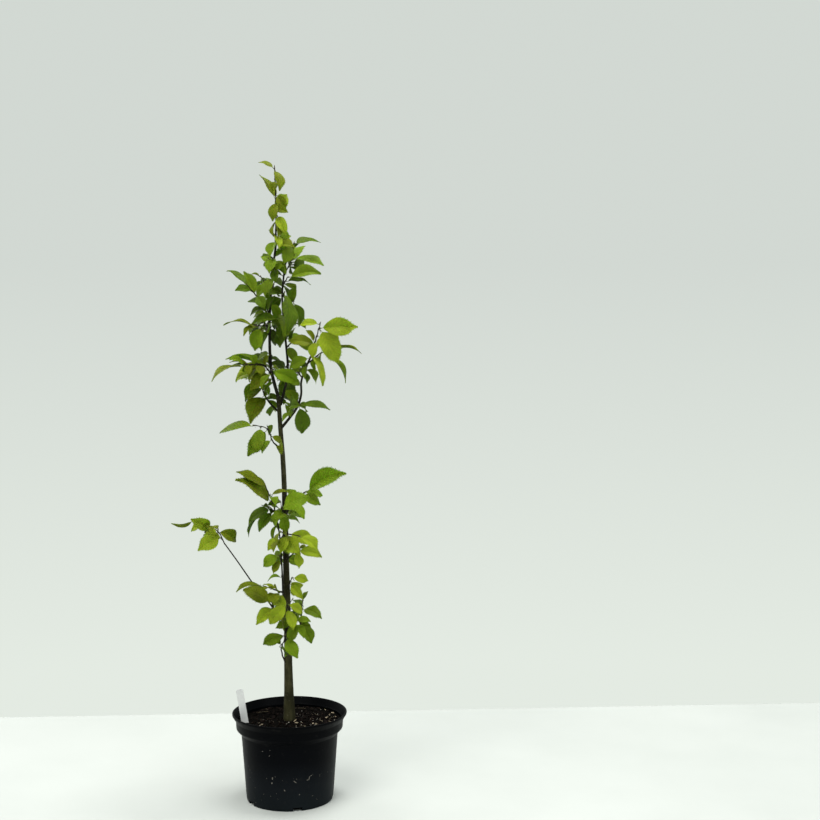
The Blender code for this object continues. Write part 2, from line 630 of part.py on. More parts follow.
def make_soil(paint):
    """The soil that fills the pot, clear of it and of the label's foot."""
    low = POT_FLOOR + GAP
    edge = pot_inner_radius(SOIL_TOP) - 2 * GAP
    corners, faces = [], []
    rows = [(pot_inner_radius(low) - 2 * GAP - SOIL_FOOT_INSET, low, 0.0),
            (pot_inner_radius(POT_SHOULDER_HEIGHT) - 2 * GAP, POT_SHOULDER_HEIGHT, 0.0)]
    rows += [(edge * share, None, share) for share in reversed(SOIL_RINGS)]
    for radius, height, share in rows:
        for side in range(POT_SIDES):
            angle = math.tau * side / POT_SIDES
            x, y = radius * math.cos(angle), radius * math.sin(angle)
            corners.append(Vector((x, y, soil_height(x, y, share) if height is None else height)))
    for row in range(len(rows) - 1):
        for side in range(POT_SIDES):
            a = row * POT_SIDES + side
            b = row * POT_SIDES + (side + 1) % POT_SIDES
            faces.append((a, b, b + POT_SIDES, a + POT_SIDES))
    faces.append(tuple(reversed(range(POT_SIDES))))
    last = (len(rows) - 1) * POT_SIDES
    faces.append(tuple(range(last, last + POT_SIDES)))
    soil = make_object("soil", (corners, faces), paint)
    slot = make_object("label_slot", box(LABEL_WIDTH + 2 * GAP, LABEL_THICKNESS + 2 * GAP,
                                         LABEL_SLOT_LENGTH), paint)
    set_label_place(slot, GAP)
    cut(soil, slot)
    return soil


def set_label_place(thing, deeper):
    """Lean a piece as the label leans, with its foot under the soil."""
    lean = math.radians(LABEL_LEAN)
    foot = Vector((LABEL_FOOT[0], LABEL_FOOT[1], SOIL_TOP))
    foot -= Vector((math.sin(lean), 0, math.cos(lean))) * (LABEL_SUNK + deeper)
    thing.location = foot * MM
    thing.rotation_euler = (0, lean, 0)
    bpy.context.view_layer.update()


def make_label(paint):
    """The blank label, a flat strip with a pointed foot."""
    half, thin = LABEL_WIDTH / 2, LABEL_THICKNESS / 2
    outline = [(0, 0), (half, LABEL_POINT), (half, LABEL_LENGTH), (-half, LABEL_LENGTH),
               (-half, LABEL_POINT)]
    corners = [Vector((x, -thin, z)) for x, z in outline]
    corners += [Vector((x, thin, z)) for x, z in outline]
    count = len(outline)
    faces = [tuple(range(count)), tuple(reversed(range(count, 2 * count)))]
    faces += [((i + 1) % count, i, i + count, (i + 1) % count + count) for i in range(count)]
    label = make_object("label", (corners, faces), paint)
    set_label_place(label, 0.0)
    return label


def main():
    """Build the whole plant in an empty scene."""
    for thing in list(bpy.data.objects):
        bpy.data.objects.remove(thing)
    paints = {name: material(name) for name in COLOURS}
    make_pot(paints["pot"])
    make_soil(paints["soil"])
    make_label(paints["label"])
    limbs, stems, leaves = lay_out()
    for name, limb in limbs.items():
        make_object(name, tube(limb, LIMB_SIDES.get(name, THIN_LIMB_SIDES)), paints["bark"])
    for name, stem in stems.items():
        fuse_mass(name, stem, leaves[name], paints["leaf"])


main()
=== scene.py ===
"""The looks of a young european hornbeam in its round nursery pot.

The limbs, sprigs and leaves are laid out by the same tables and rule as the solids, in
millimetres, and are carried on to bark, finer twigs, buds and veined leaves with toothed edges.
X runs to the right of the front view, Y away from it and Z up. Meshes are in metres.
"""

import math
import random
from types import SimpleNamespace

import bpy
import numpy as np
from mathutils import Matrix, Vector, noise
from mathutils.bvhtree import BVHTree


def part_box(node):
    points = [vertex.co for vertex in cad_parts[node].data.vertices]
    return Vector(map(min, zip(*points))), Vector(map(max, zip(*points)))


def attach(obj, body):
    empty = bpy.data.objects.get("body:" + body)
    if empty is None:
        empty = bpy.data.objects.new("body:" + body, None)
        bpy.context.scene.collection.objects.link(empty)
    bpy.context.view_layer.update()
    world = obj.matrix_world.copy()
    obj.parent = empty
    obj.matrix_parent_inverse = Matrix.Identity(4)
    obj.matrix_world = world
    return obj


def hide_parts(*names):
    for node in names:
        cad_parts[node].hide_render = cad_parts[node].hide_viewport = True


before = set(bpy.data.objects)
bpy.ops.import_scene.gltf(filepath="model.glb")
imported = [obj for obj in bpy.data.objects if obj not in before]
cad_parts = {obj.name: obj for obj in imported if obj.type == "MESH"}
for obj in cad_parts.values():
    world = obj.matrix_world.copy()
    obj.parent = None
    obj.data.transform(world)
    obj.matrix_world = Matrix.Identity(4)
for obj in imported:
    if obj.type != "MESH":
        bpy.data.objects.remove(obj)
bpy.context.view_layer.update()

MM = 0.001
GAP = 0.3  # clearance between pieces that touch
TIP = "tip"  # a limb or sprig that goes on from its parent's end
OFF_AXIS = (0.3, 0.5, 0.81)  # a direction that no line of the plant runs in
CAP_RADIUS = 2.0  # of the small fan that closes a turned shape at its axis

# Pot, a thin moulded one with a stepped collar under its rim
POT_HEIGHT = 144.0
POT_FOOT_RADIUS = 70.5
POT_BODY_FOOT_RADIUS = 71.5
POT_FOOT_BEVEL = 5.0
POT_SHOULDER_HEIGHT = 110.0
POT_SHOULDER_RADIUS = 79.0
POT_COLLAR_HEIGHT = 118.6
POT_COLLAR_RADIUS = 87.2
POT_COLLAR_TOP_HEIGHT = 131.6
POT_COLLAR_TOP_RADIUS = 87.9
POT_LIP_RADIUS = 93.9
POT_WALL = 1.6
POT_LIP_DROP = 3.0
POT_FLOOR = 3.0
POT_SLOPE = -0.07  # how far the normal of its side points up
POT_LIP_WALL = 2.08
POT_LEDGE_TOP = 1.5  # the inner ledge under the lip, above the collar's top
POT_LEDGE_FOOT = 0.6
POT_LEDGE_WIDTH = 0.9
POT_COLLAR_INSET = 0.4
POT_FINE_SIDES = 160
POT_ROUNDING = 1.4
BASE_RECESS = 1.2
BASE_RECESS_RADIUS = 60.0
DRAIN_SLOTS = 5
DRAIN_FIRST_ANGLE = -57.5  # degrees from the front towards +X
DRAIN_WIDTH = 15.0
DRAIN_HEIGHT = 6.0
DRAIN_DEPTH = 10.0

# Soil, level where the trunk stands on it
SOIL_TOP = 130.0
SOIL_UNEVEN = 1.6
SOIL_WAVES = (13.0, 17.0, 11.0)
SOIL_LEVEL_SHARE = 0.16  # of the radius, level round the trunk
SOIL_ROUGH_SHARE = 0.46
SOIL_EDGE_SHARE = 0.8
SOIL_EDGE_DROP = 2.0
SOIL_FOOT_INSET = 1.0
SOIL_FINE_SIDES = 200
SOIL_FINE_RINGS = 76
CRUMBS = ((6.0, 1.1, 2), (2.6, 0.9, 7), (1.0, 0.35, 1))  # breadth, height, layer of the noise

# Plant label, a blank white tag pushed into the soil
LABEL_WIDTH = 11.5
LABEL_THICKNESS = 0.7
LABEL_LENGTH = 83.0
LABEL_SUNK = 26.0
LABEL_POINT = 9.0
LABEL_TIP_SHARE = 0.06  # of its width, left at its point
LABEL_CUP = 0.25
LABEL_CORNER = 2.2
LABEL_BEND = -1.2
LABEL_FOOT = (-71.0, -20.0)  # where it enters the soil
LABEL_LEAN = -9.0  # degrees, towards -X
LABEL_ROWS = 44
LABEL_COLUMNS = 9

# The eye that the front view is seen from
EYE = Vector((198.0, -2305.0, 804.0))

# Limbs: parent, height of the foot on it, then points (x, z, depth) as the front view shows them,
# then the foot's and the tip's diameter
LIMBS = {
    "trunk": (None, 0, [
        (-1, 130, 0), (-2, 250, 0), (-4, 370, 2), (-7, 530, 4), (-12, 608, 5), (-15, 661, 6)], 14.5, 7.0),
    "leader": ("trunk", TIP, [(-27, 712, 3), (-28, 800, 0), (-21, 879, -4), (-18, 905, -5)], 5.8, 3.2),
    "second_stem": ("trunk", 651, [(0, 698, 14), (-1, 732, 16), (-8, 820, 18), (-3, 874, 16)], 4.6, 2.8),
    "right_bough": ("trunk", 613, [
        (11, 639, -11), (21, 660, -22), (23, 692, -36), (38, 728, -48)], 4.8, 2.8),
    "left_bough": ("trunk", 639, [(-29, 652, 18), (-37, 664, 32)], 3.4, 2.6),
    "long_shoot": ("trunk", 273, [
        (-9, 300, -12), (-10, 350, -14), (-13, 418, -15), (-17, 451, -15), (-24, 486, -18)], 3.2, 2.2),
    "side_shoot": ("trunk", 281, [
        (-31, 323, -4), (-56, 353, 6), (-85, 395, 20), (-105, 423, 30)], 2.8, 2.0),
}
THIN_LIMB_SIDES = 6
LIMB_RING_STEP = 22.0
CURVE_PARTS = 12  # straight parts that each stretch of a curve is measured by
TAPER_POWER = 1.3
ROOT_FLARE = 5.5  # added to the trunk's diameter at the soil
ROOT_FLARE_HEIGHT = 45.0

# Sprigs, each one mass of leaves: limb, height of the foot on it, points of the stem, then the
# leaves as (place along the stem in percent, heading in degrees from +X in the front view,
# length with its stalk, roll), where roll 0 faces the front, 90 lies level and 180 faces away.
# A fifth number is the lean out of the front view's plane, which the others draw from a range
SPRIGS = {
    "leader_tip": ("leader", TIP, [(-17, 965, -4), (-19, 1030, -2)], [
        (1, -8, 32, 45), (4, 26, 26, 20), (7, -106, 28, 25), (8, 128, 20, 80), (40, -64, 37, 12),
        (41, 64, 36, 0), (57, -98, 33, 0), (59, 124, 50, 64), (98, -76, 37, 42), (100, 158, 29, 62)]),
    "leader_spur": ("leader", 868, [(-24, 886, 24)], [
        (20, -30, 26, 120), (60, 155, 22, 30), (80, -42, 32, 60), (100, 22, 32, 125)]),
    "second_tip": ("second_stem", TIP, [(11, 909, 2)], [
        (20, 35, 20, 60), (50, 48, 24, 110), (92, -116, 33, 0), (100, 4, 42, 66)]),
    "second_high": ("second_stem", 860, [(8, 884, 30)], [
        (50, -35, 20, 110), (80, 62, 27, 30), (100, -12, 54, 58)]),
    "second_right": ("second_stem", 843, [(1, 855, -12)], [(50, -8, 42, 110), (100, 6, 54, 40)]),
    "leader_left_top": ("leader", 830, [(-42, 856, 24)], [
        (30, -75, 34, 150), (45, 172, 18, 100), (100, 165, 16, 70)]),
    "leader_left_high": ("leader", 799, [(-41, 815, -14), (-64, 842, -34)], [
        (45, -62, 22, 10), (60, 119, 45, 20), (78, 178, 26, 50), (100, 146, 43, 72)]),
    "leader_left_mid": ("leader", 787, [(-36, 806, -26)], [
        (25, -50, 26, 130), (60, 65, 30, 120), (100, -152, 27, 60, 12)]),
    "second_spur": ("second_stem", 805, [(10, 817, -8)], [(60, 66, 30, 10), (100, -80, 42, 55)]),
    "second_front": ("second_stem", 822, [(-4, 832, -24)], [
        (20, -140, 38, 130), (55, 165, 26, 130), (100, -84, 68, 58)]),
    "second_left": ("second_stem", 781, [(-12, 789, -18)], [(60, -95, 30, 140), (100, -168, 46, 30)]),
    "leader_left_low": ("leader", 777, [(-50, 777, -40)], [
        (35, -112, 30, 30), (68, -103, 41, 16), (80, -145, 28, 60), (100, 180, 54, 88)]),
    "right_bough_tip": ("right_bough", TIP, [(53, 780, -66)], [
        (8, -71, 54, 66), (35, 172, 42, 30), (42, 125, 24, 60), (86, -62, 62, 4), (84, 3, 62, 0),
        (100, -178, 32, 48)]),
    "right_bough_side": ("right_bough", 719, [(56, 734, -28), (67, 731, -16)], [
        (75, -1, 60, 88), (100, -61, 54, 80)]),
    "second_low": ("second_stem", 742, [(14, 758, -8)], [
        (15, -70, 30, 30), (40, 75, 26, 60), (70, -10, 26, 110), (100, -34, 36, 25, -16)]),
    "right_bough_inner": ("right_bough", 705, [(37, 726, -78)], [
        (55, -100, 24, 120), (100, -152, 38, 20)]),
    "leader_left_cluster": ("leader", 699, [(-40, 714, -10), (-70, 714, -34)], [
        (5, -137, 40, 18), (16, -160, 60, 42), (30, 170, 64, 80, -6), (82, -169, 38, 80, 12),
        (100, -152, 55, 78, -16)]),
    "leader_front": ("leader", 695, [(-26, 706, -50)], [(60, -120, 30, 50), (100, -28, 47, 5)]),
    "second_base": ("second_stem", 689, [(6, 702, 34)], [
        (50, 28, 26, 60), (75, -97, 32, 120), (100, -95, 56, 20, 10)]),
    "left_bough_tip": ("left_bough", TIP, [(-46, 690, 48)], [
        (5, -114, 50, 10), (18, 45, 24, 120), (50, -135, 32, 40), (80, -60, 26, 140),
        (100, -122, 42, 130)]),
    "right_bough_low": ("right_bough", 635, [(19, 650, -52)], [
        (30, -140, 24, 60), (92, -86, 47, 30), (100, -9, 50, 60)]),
    "trunk_left": ("trunk", 578, [(-25, 590, -18), (-33, 610, -36), (-54, 616, -52)], [
        (38, -124, 27, 40), (50, -48, 28, 70), (66, -127, 52, 0), (100, -167, 60, 76)]),
    "long_shoot_tip": ("long_shoot", TIP, [(-36, 514, -34)], [
        (14, 144, 69, 56), (55, 4, 36, 74), (100, 150, 54, 66)]),
    "trunk_right": ("trunk", 475, [(6, 490, 6), (27, 507, 24)], [
        (30, -48, 32, 60), (80, -29, 36, 30), (100, 25, 77, 28)]),
    "trunk_front": ("trunk", 467, [(-12, 482, -52)], [
        (30, 160, 30, 100, 14), (60, -82, 36, 12), (100, 19, 50, 28)]),
    "long_shoot_left": ("long_shoot", 476, [(-31, 483, 10)], [
        (30, -124, 40, 20), (60, -150, 44, 40), (100, -125, 66, 74, 24)]),
    "trunk_front_low": ("long_shoot", 428, [(-6, 438, -38), (17, 435, -56)], [
        (5, -150, 24, 110), (20, -139, 30, 50), (35, -42, 40, 0), (60, -24, 44, 30), (100, -36, 38, 45)]),
    "trunk_right_low": ("trunk", 397, [(13, 411, -36)], [(95, -80, 28, 30), (100, -20, 42, 30)]),
    "long_shoot_mid": ("long_shoot", 390, [(-15, 403, -46)], [(60, -116, 24, 30), (100, -144, 34, 30)]),
    "trunk_right_mid": ("trunk", 350, [(5, 366, -36)], [(45, -48, 34, 10), (100, -12, 27, 10)]),
    "long_shoot_low": ("long_shoot", 345, [(-40, 352, -44)], [
        (8, -125, 24, 20), (40, 165, 22, 80), (100, -172, 44, 86)]),
    "side_shoot_low": ("side_shoot", 308, [(-28, 325, -34)], [(60, -136, 36, 20), (100, 163, 52, 20)]),
    "trunk_front_base": ("trunk", 305, [(-3, 324, -50)], [(60, -71, 34, 30), (100, -129, 46, 5)]),
    "trunk_right_base": ("trunk", 260, [(18, 288, 12), (22, 328, 26)], [
        (45, -58, 36, 36), (62, -80, 30, 20), (80, -20, 36, 40), (100, 60, 18, 60)]),
    "trunk_base_front": ("trunk", 283, [(12, 296, -34)], [(60, -50, 28, 60), (100, -104, 38, 10)]),
    "trunk_lowest": ("trunk", 230, [(-13, 248, -6), (-4, 272, -26)], [
        (88, -58, 38, 8), (100, -155, 43, 6)]),
    "side_shoot_tip": ("side_shoot", TIP, [(-114, 441, 33), (-127, 449, 34), (-154, 458, 28)], [
        (16, -152, 42, 6), (33, -38, 34, 38), (52, 148, 36, 15), (75, -150, 24, 50),
        (100, -178, 38, -60)]),
}
SPRIG_SIDES = 5
SPRIG_FOOT_DIAMETER = 2.6
SPRIG_TIP_DIAMETER = 1.4
SPRIG_RING_STEP = 9.0

# Sprigs that fill the side away from the front: limb, height of the foot, x and depth of the tip,
# number of leaves
FAR_SPRIGS = {
    "leader_far_high": ("leader", 828, -20, 58, 4),
    "leader_far_mid": ("leader", 760, -38, 72, 5),
    "second_far": ("second_stem", 764, 8, 84, 5),
    "leader_far_low": ("leader", 700, -34, 84, 5),
    "bough_far": ("right_bough", 694, 12, 40, 4),
    "trunk_far_high": ("trunk", 640, -16, 76, 4),
    "trunk_far_mid": ("trunk", 448, -6, 84, 5),
    "trunk_far_low": ("trunk", 386, -8, 66, 4),
    "trunk_far_base": ("trunk", 296, 0, 76, 5),
}
FAR_RISE = 0.35  # of its reach
FAR_FIRST_LEAF = 40.0
FAR_LENGTHS = (24.0, 38.0)  # as the front view shows them
FAR_ROLLS = (40.0, 110.0)
FAR_SPREAD = (20.0, 80.0)
FAR_LEAN = (25.0, 60.0)

# More leaves of the same kind where the crown is dense: place along the limb or sprig in
# percent, heading, length, roll and lean
MORE_LEAVES = {
    "leader_tip": [
        (66, -58, 30, 25, 28), (48, -20, 24, 40, -25), (34, -96, 30, 70, 20), (20, -35, 25, 45, 35),
        (10, 165, 20, 40, -20), (84, -100, 28, 30, 30), (30, -82, 26, 30, -28), (22, -102, 24, 40, -26),
        (52, -88, 26, 25, -30), (14, -74, 24, 40, -30), (76, -90, 24, 30, -30)],
    "leader": [
        (98, -20, 30, 120, 22), (90, -150, 24, 40, 30), (75, -140, 34, 40, 25), (62, -60, 27, 30, 40),
        (45, -115, 38, 20, 30), (52, -30, 24, 80, 35), (30, -140, 30, 50, 35), (18, -60, 26, 60, 40),
        (84, 20, 26, 60, 30), (93, -104, 28, 25, -30), (86, -78, 28, 30, -28), (80, -108, 34, 20, -26),
        (71, -74, 30, 25, -30), (66, -112, 30, 20, -28)],
    "second_stem": [
        (92, 160, 24, 60, -30), (87, -30, 26, 60, -35), (72, -50, 28, 60, 40), (60, -150, 26, 60, 35),
        (47, -20, 30, 40, 40), (30, -40, 28, 50, 40), (10, -40, 30, 40, -35), (20, -160, 24, 60, 40),
        (74, -90, 44, 40, -24), (64, -84, 34, 30, -30), (55, -100, 32, 30, -30)],
    "leader_left_mid": [(60, -160, 24, 50, 20), (40, -100, 24, 60, 30)],
    "leader_left_low": [(98, -165, 24, 30, 35), (60, -100, 34, 30, 35)],
    "leader_left_high": [(30, 170, 26, 60, 30), (62, -55, 26, 10, -25)],
    "right_bough_tip": [(50, -100, 30, 30, 22), (60, -20, 38, 20, 35), (20, 20, 30, 60, 35)],
    "right_bough_side": [(40, -100, 26, 60, 30)],
    "right_bough": [(14, 105, 24, 60, 20), (60, 150, 26, 60, 30), (84, -60, 30, 60, 35)],
    "leader_left_cluster": [
        (80, 175, 34, 84, 15), (50, -120, 34, 40, 35), (94, 160, 34, 84, 12), (60, -60, 20, 30, -30),
        (75, -100, 18, 40, -35), (45, -150, 22, 50, -30), (90, -80, 18, 30, -30), (30, -100, 20, 30, -35),
        (35, 60, 20, 40, -30), (60, 120, 18, 30, -25)],
    "left_bough_tip": [(50, -150, 28, 20, -30), (80, 170, 26, 60, 30)],
    "left_bough": [(80, -60, 26, 60, 30)],
    "trunk_left": [(84, -98, 42, 10, 20), (20, -60, 20, 60, 30)],
    "trunk_right": [(95, -15, 30, 40, 25), (60, 150, 24, 60, 30)],
    "long_shoot": [
        (88, -136, 30, 20, -18), (86, -100, 40, 40, -30), (80, 150, 24, 60, 30), (45, -160, 26, 84, 12),
        (60, -130, 26, 60, 30), (72, -60, 28, 50, 30)],
    "long_shoot_left": [(60, 170, 30, 60, 20)],
    "trunk_front_low": [(60, -110, 34, 30, 30)],
    "side_shoot": [(30, 150, 26, 60, 30), (22, -150, 26, 40, 25)],
    "side_shoot_tip": [(10, 170, 34, 40, 30), (30, -115, 32, 30, 30), (60, -60, 26, 60, 30)],
    "trunk_right_base": [(40, -20, 22, 60, 20)],
    "trunk_front_base": [(60, 165, 26, 60, 25), (95, -40, 30, 40, 30)],
    "trunk_base_front": [(60, -165, 30, 30, -25), (90, -10, 24, 60, 25)],
    "trunk_right_mid": [(60, -70, 26, 50, 30)],
    "trunk_right_low": [(60, 20, 30, 60, 30)],
    "trunk_front": [(80, -30, 28, 60, 25), (60, -120, 30, 40, 30)],
    "trunk_lowest": [(70, -100, 30, 40, 30), (50, 160, 20, 60, 25)],
}

# Leaves as the solids have them, each with a stalk, the petiole
PETIOLE_SHARE = 0.1  # petiole length as a share of the leaf, and what is added
PETIOLE_EXTRA = 1.5
PETIOLE_BEND = 0.3  # how much the petiole turns along its stem
PETIOLE_WIDTH = 1.3
LEAF_FOLD = 20.0  # degrees that each half of the blade rises from its midrib
LEAF_ARCH = 0.09  # height of the midrib's arch as a share of the blade
LEAF_THICKNESS = 0.022  # as a share of the blade's length
LEAF_LEAST_THICKNESS = 0.4
LEAF_WIDTH_SHARE = 0.42  # widest place as a share of the length, and what is added
LEAF_WIDTH_EXTRA = 6.0
LEAF_WIDEST = 0.42  # where the widest place lies along the blade
LEAF_FULLNESS = 0.75  # lower is a blunter outline
LEAF_STATIONS = (0.0, 0.12, 0.4, 0.7, 0.9)
LEAF_LEAN = (8.0, 30.0)  # degrees out of the front view's plane
LEAF_CLEARANCE = 0.7  # how far each blade keeps from the rest
LAST_ROOT = 0.985  # share of the stem that the last leaf grows from

# What is tried in turn where a leaf would touch: change of lean, change of roll, size
TRIES = (
    (0, 0, 1.0), (12, 0, 1.0), (-12, 0, 1.0), (0, 20, 1.0), (0, -20, 1.0), (24, 15, 1.0),
    (-24, -15, 1.0), (24, -20, 1.0), (-24, 20, 1.0), (40, 0, 0.95), (-40, 0, 0.95), (0, 45, 0.9),
    (0, -45, 0.9), (30, 30, 0.8), (-30, -30, 0.8), (0, 0, 0.75), (50, 25, 0.75), (-50, -25, 0.75),
    (15, 60, 0.65), (-15, -60, 0.65),
)

# Fine leaves: rows of corners along the side veins, columns from the midrib to the margin
VEINS = 12  # pairs of side veins, fewer on a small leaf
SMALL_LEAF = 26.0  # blades shorter than this are small
SMALL_LEAF_VEINS = 8
VEIN_PARTS = 6
VEIN_LEAN = 1.9  # how far the side veins run forward
VEIN_CURVE = 1.15
COLUMNS = (0.0, 0.05, 0.3, 0.6, 0.88, 1.0)
COLUMN_PLEAT = (0.0, 0.2, 0.95, 0.95, 0.6, 0.3)
COLUMN_VEIN = (0.0, 1.0, 1.0, 0.85, 0.4, 0.0)
PLEAT = (0.0, 0.55, 0.9, 1.0, 0.9, 0.5)  # the blade bulges between its veins
TEETH = (1.0, 0.0, 0.55, 0.0, 0.6, 0.0)  # a large tooth at each vein's end, then two small
PLEAT_SHARE = 0.0115  # of the blade's length
TOOTH_SHARE = 0.05
TOOTH_FORWARD = 0.7
VEIN_RISE = 0.16
BLADE_THICKNESS = 0.26
LEAST_HALF_WIDTH = 0.25
UNEVEN = 0.09  # how much the outline strays from even, on each side of its own
UNEVEN_WAVES = (3.0, 7.0)

# Each leaf's own form is drawn from these ranges, in this order
FORM = {
    "droop": (0.0, 0.24),  # how much the blade hangs from its middle on
    "sway": (-0.09, 0.09),
    "twist": (-14.0, 14.0),
    "fold": (6.0, 30.0),
    "tail": (0.45, 0.8),  # how much the drawn-out tip is narrowed
    "tail_start": (0.6, 0.78),
    "breadth": (0.84, 1.1),  # against the solid's blade
    "wave": (0.008, 0.026),  # height of the margin's waves as a share of the blade
    "waves": (6.0, 12.0),
    "widest": (0.38, 0.48),  # place of the widest part along the blade
}

# Midribs and petioles
RIB_SIDES = 6
RIB_STEPS = 12
RIB_DIAMETERS = (0.85, 0.2)
PETIOLE_STEPS = 5
PETIOLE_DIAMETERS = (1.45, 1.0)
PETIOLE_SAG = 0.6

# Stems of the sprigs, with a bud at each leaf and at the tip
TWIG_SIDES = 8
TWIG_STEP = 1.8
TWIG_ZIGZAG = 0.4
TWIG_ROUGHNESS = 0.06
NODE_SWELLING = 0.32
NODE_LENGTH = 1.6
NODE_RADIUS = 0.7  # where buds and stipules stand, from the middle of the stem
BUD_SIDES = 7
BUD_LENGTHS = (2.6, 4.6)
TIP_BUD_LENGTH = 4.5
FINE_TIP_BUD_LENGTH = 3.0
FINE_BUD_SIZE = 0.7
BUD_WIDTH = 0.17
BUD_LEAN = (0.9, 0.55)  # along the stem and away from it
BUD_PROFILE = ((0.0, 0.7), (0.15, 0.95), (0.4, 1.0), (0.65, 0.74), (0.85, 0.4), (1.0, 0.06))
STIPULE_CHANCE = 0.3
STIPULE_LENGTHS = (4.0, 7.5)
STIPULE_STEPS = 6
STIPULE_WIDTH = 0.55
STIPULE_THICKNESS = 0.18
STIPULE_CURL = 0.5
STIPULE_SAG = (0.0, 0.0, -0.35)

# Finer twigs with small leaves that fill each sprig in depth
FINE_TWIG_TRIES = 7
FINE_TWIGS = 3
FINE_TWIG_PLACES = (0.15, 0.92)
FINE_TWIG_LENGTHS = (7.0, 15.0)
FINE_TWIG_FORWARD = (0.3, 0.9)
FINE_TWIG_BEND = (-0.8, 0.8)
HANGING_CHANCE = 0.7
HANGING_HEADINGS = (-150.0, -30.0)
RISING_HEADINGS = (0.0, 180.0)
FINE_LEAF_LENGTHS = (12.0, 20.0)
FINE_LEAF_LEAN = (48.0, 64.0)
FINE_LEAF_ROLLS = (30.0, 110.0)
FINE_DIAMETERS = (1.4, 0.9)

# Bark
BARK_STEP = 1.5
BARK_SIDES = {"trunk": 56, "leader": 28, "second_stem": 28, "right_bough": 26}
THIN_BARK_SIDES = 20
BARK_WAVES = ((0.055, 1.5, 38, 0), (0.03, 5, 11, 9))  # share of the radius, around, height, shift
BARK_GRAIN = 0.1
GRAIN_FINENESS = Vector((1.4, 1.4, 1 / 3))
SUNK = 1.5  # how deep each foot runs into what it grows from
TRUNK_SUNK = 10.0
FLUTES = 0.09  # depth of the trunk's flutes at the soil as a share of its radius
FLUTE_HEIGHT = 26.0
FLUTE_COUNT = 5
COLLAR_SHARE = 0.34  # rise of the bark round a foot, its width and its reach in the foot's radii
COLLAR_WIDTH = 1.3
COLLAR_REACH = 4.0
LENTICELS = {"trunk": 420, "leader": 70, "second_stem": 60, "right_bough": 50, "long_shoot": 40,
             "side_shoot": 30}
FEW_LENTICELS = 12
LENTICEL_SIDES = 8
LENTICEL_CROWDING = 0.8  # lower crowds them towards the tip
LENTICEL_HALF_LENGTHS = (0.45, 1.1)
LENTICEL_HALF_HEIGHTS = (0.22, 0.38)
LENTICEL_PROFILE = ((1.0, 0.0), (0.85, 0.3), (0.45, 0.44))  # size and rise
LENTICEL_TOP = 0.46

# Colours of the leaves by tone, and the sprigs of each tone; the others are "mid". Each sprig's tone is
# matched
# to how light or dark it looks, so it is partly the leaves' own colour and partly painted light and
# painted shade:
# the far sprigs get deep and dark tones as painted shade, and sprigs that face the key light are painted
# darker
TONE_COLOURS = {
    "young": (0.215, 0.275, 0.013),
    "olive": (0.112, 0.137, 0.005),
    "fresh": (0.128, 0.2, 0.007),
    "mid": (0.096, 0.145, 0.005),
    "deep": (0.062, 0.102, 0.0045),
    "dark": (0.036, 0.058, 0.003),
}
SPRIG_TONES = {
    "young": ("right_bough_tip", "trunk_front_low", "trunk_right_low", "trunk_right_mid",
              "long_shoot_low", "side_shoot_low", "trunk_front_base", "side_shoot_tip"),
    "olive": ("leader_tip", "leader_left_top", "leader_left_low", "leader_left_cluster",
              "long_shoot_tip"),
    "fresh": ("right_bough_side", "leader_front", "left_bough_tip", "trunk_left", "trunk_right",
              "trunk_front", "long_shoot_mid"),
    "deep": ("second_right", "second_front", "leader_left_high", "leader_left_mid", "second_spur",
             "second_left", "second_base", "long_shoot_left", "leader_far_high", "second_far",
             "bough_far", "trunk_far_mid"),
    "dark": ("leader_far_mid", "leader_far_low"),
}
TONE_STEPS = (-1, 0, 0, 0, 1)  # one is drawn for each leaf, from its sprig's tone
FINE_TONE_STEP = 1
LEAF_MOTTLE = ((0.3, 0.82), (0.72, 1.14))  # how much darker and lighter a leaf's tone gets

# What lies on the soil: seed, count, lengths, widths and heights as shares of them, lift
LITTER = {
    "bark_chips": (11, 300, (2.5, 8.5), (0.35, 0.7), (0.18, 0.34), 0.1),
    "dark_crumbs": (12, 500, (1.6, 5.0), (0.6, 0.95), (0.4, 0.75), 0.12),
    "pale_chips": (13, 100, (2.0, 8.5), (0.22, 0.5), (0.12, 0.22), 0.14),
    "pale_grit": (14, 110, (0.9, 2.2), (0.7, 1.0), (0.55, 0.9), 0.3),
}
LITTER_START = 9.0  # clear of the trunk
LITTER_RADIUS = 80.0
LITTER_TILT = (-0.5, 0.5)
RIGHT_HAND = ("pale_chips", "pale_grit")  # strewn mostly over the right front of the soil
RIGHT_HAND_BLEND = (-60.0, 60.0)

# Flakes, the angular bits that litter and flecks are made of, and straws
FLAKE_SIDES = (6, 7, 8)
FLAKE_REACH = (0.75, 1.15)
FLAKE_UNEVEN = (-0.08, 0.08)
FLAKE_LAYERS = ((-0.5, 0.7), (-0.1, 1.0), (0.25, 0.95), (0.5, 0.65))  # height and size
STRAWS = 10
STRAW_LENGTHS = (8.0, 22.0)
STRAW_PLACES = (12.0, 72.0)  # between these radii
STRAW_BOWS = (-0.16, 0.16)
STRAW_RISES = (-0.03, 0.132)
STRAW_LIFT = 0.9
STRAW_DIAMETER = 0.7
STRAW_STEPS = 8
STRAW_SIDES = 6

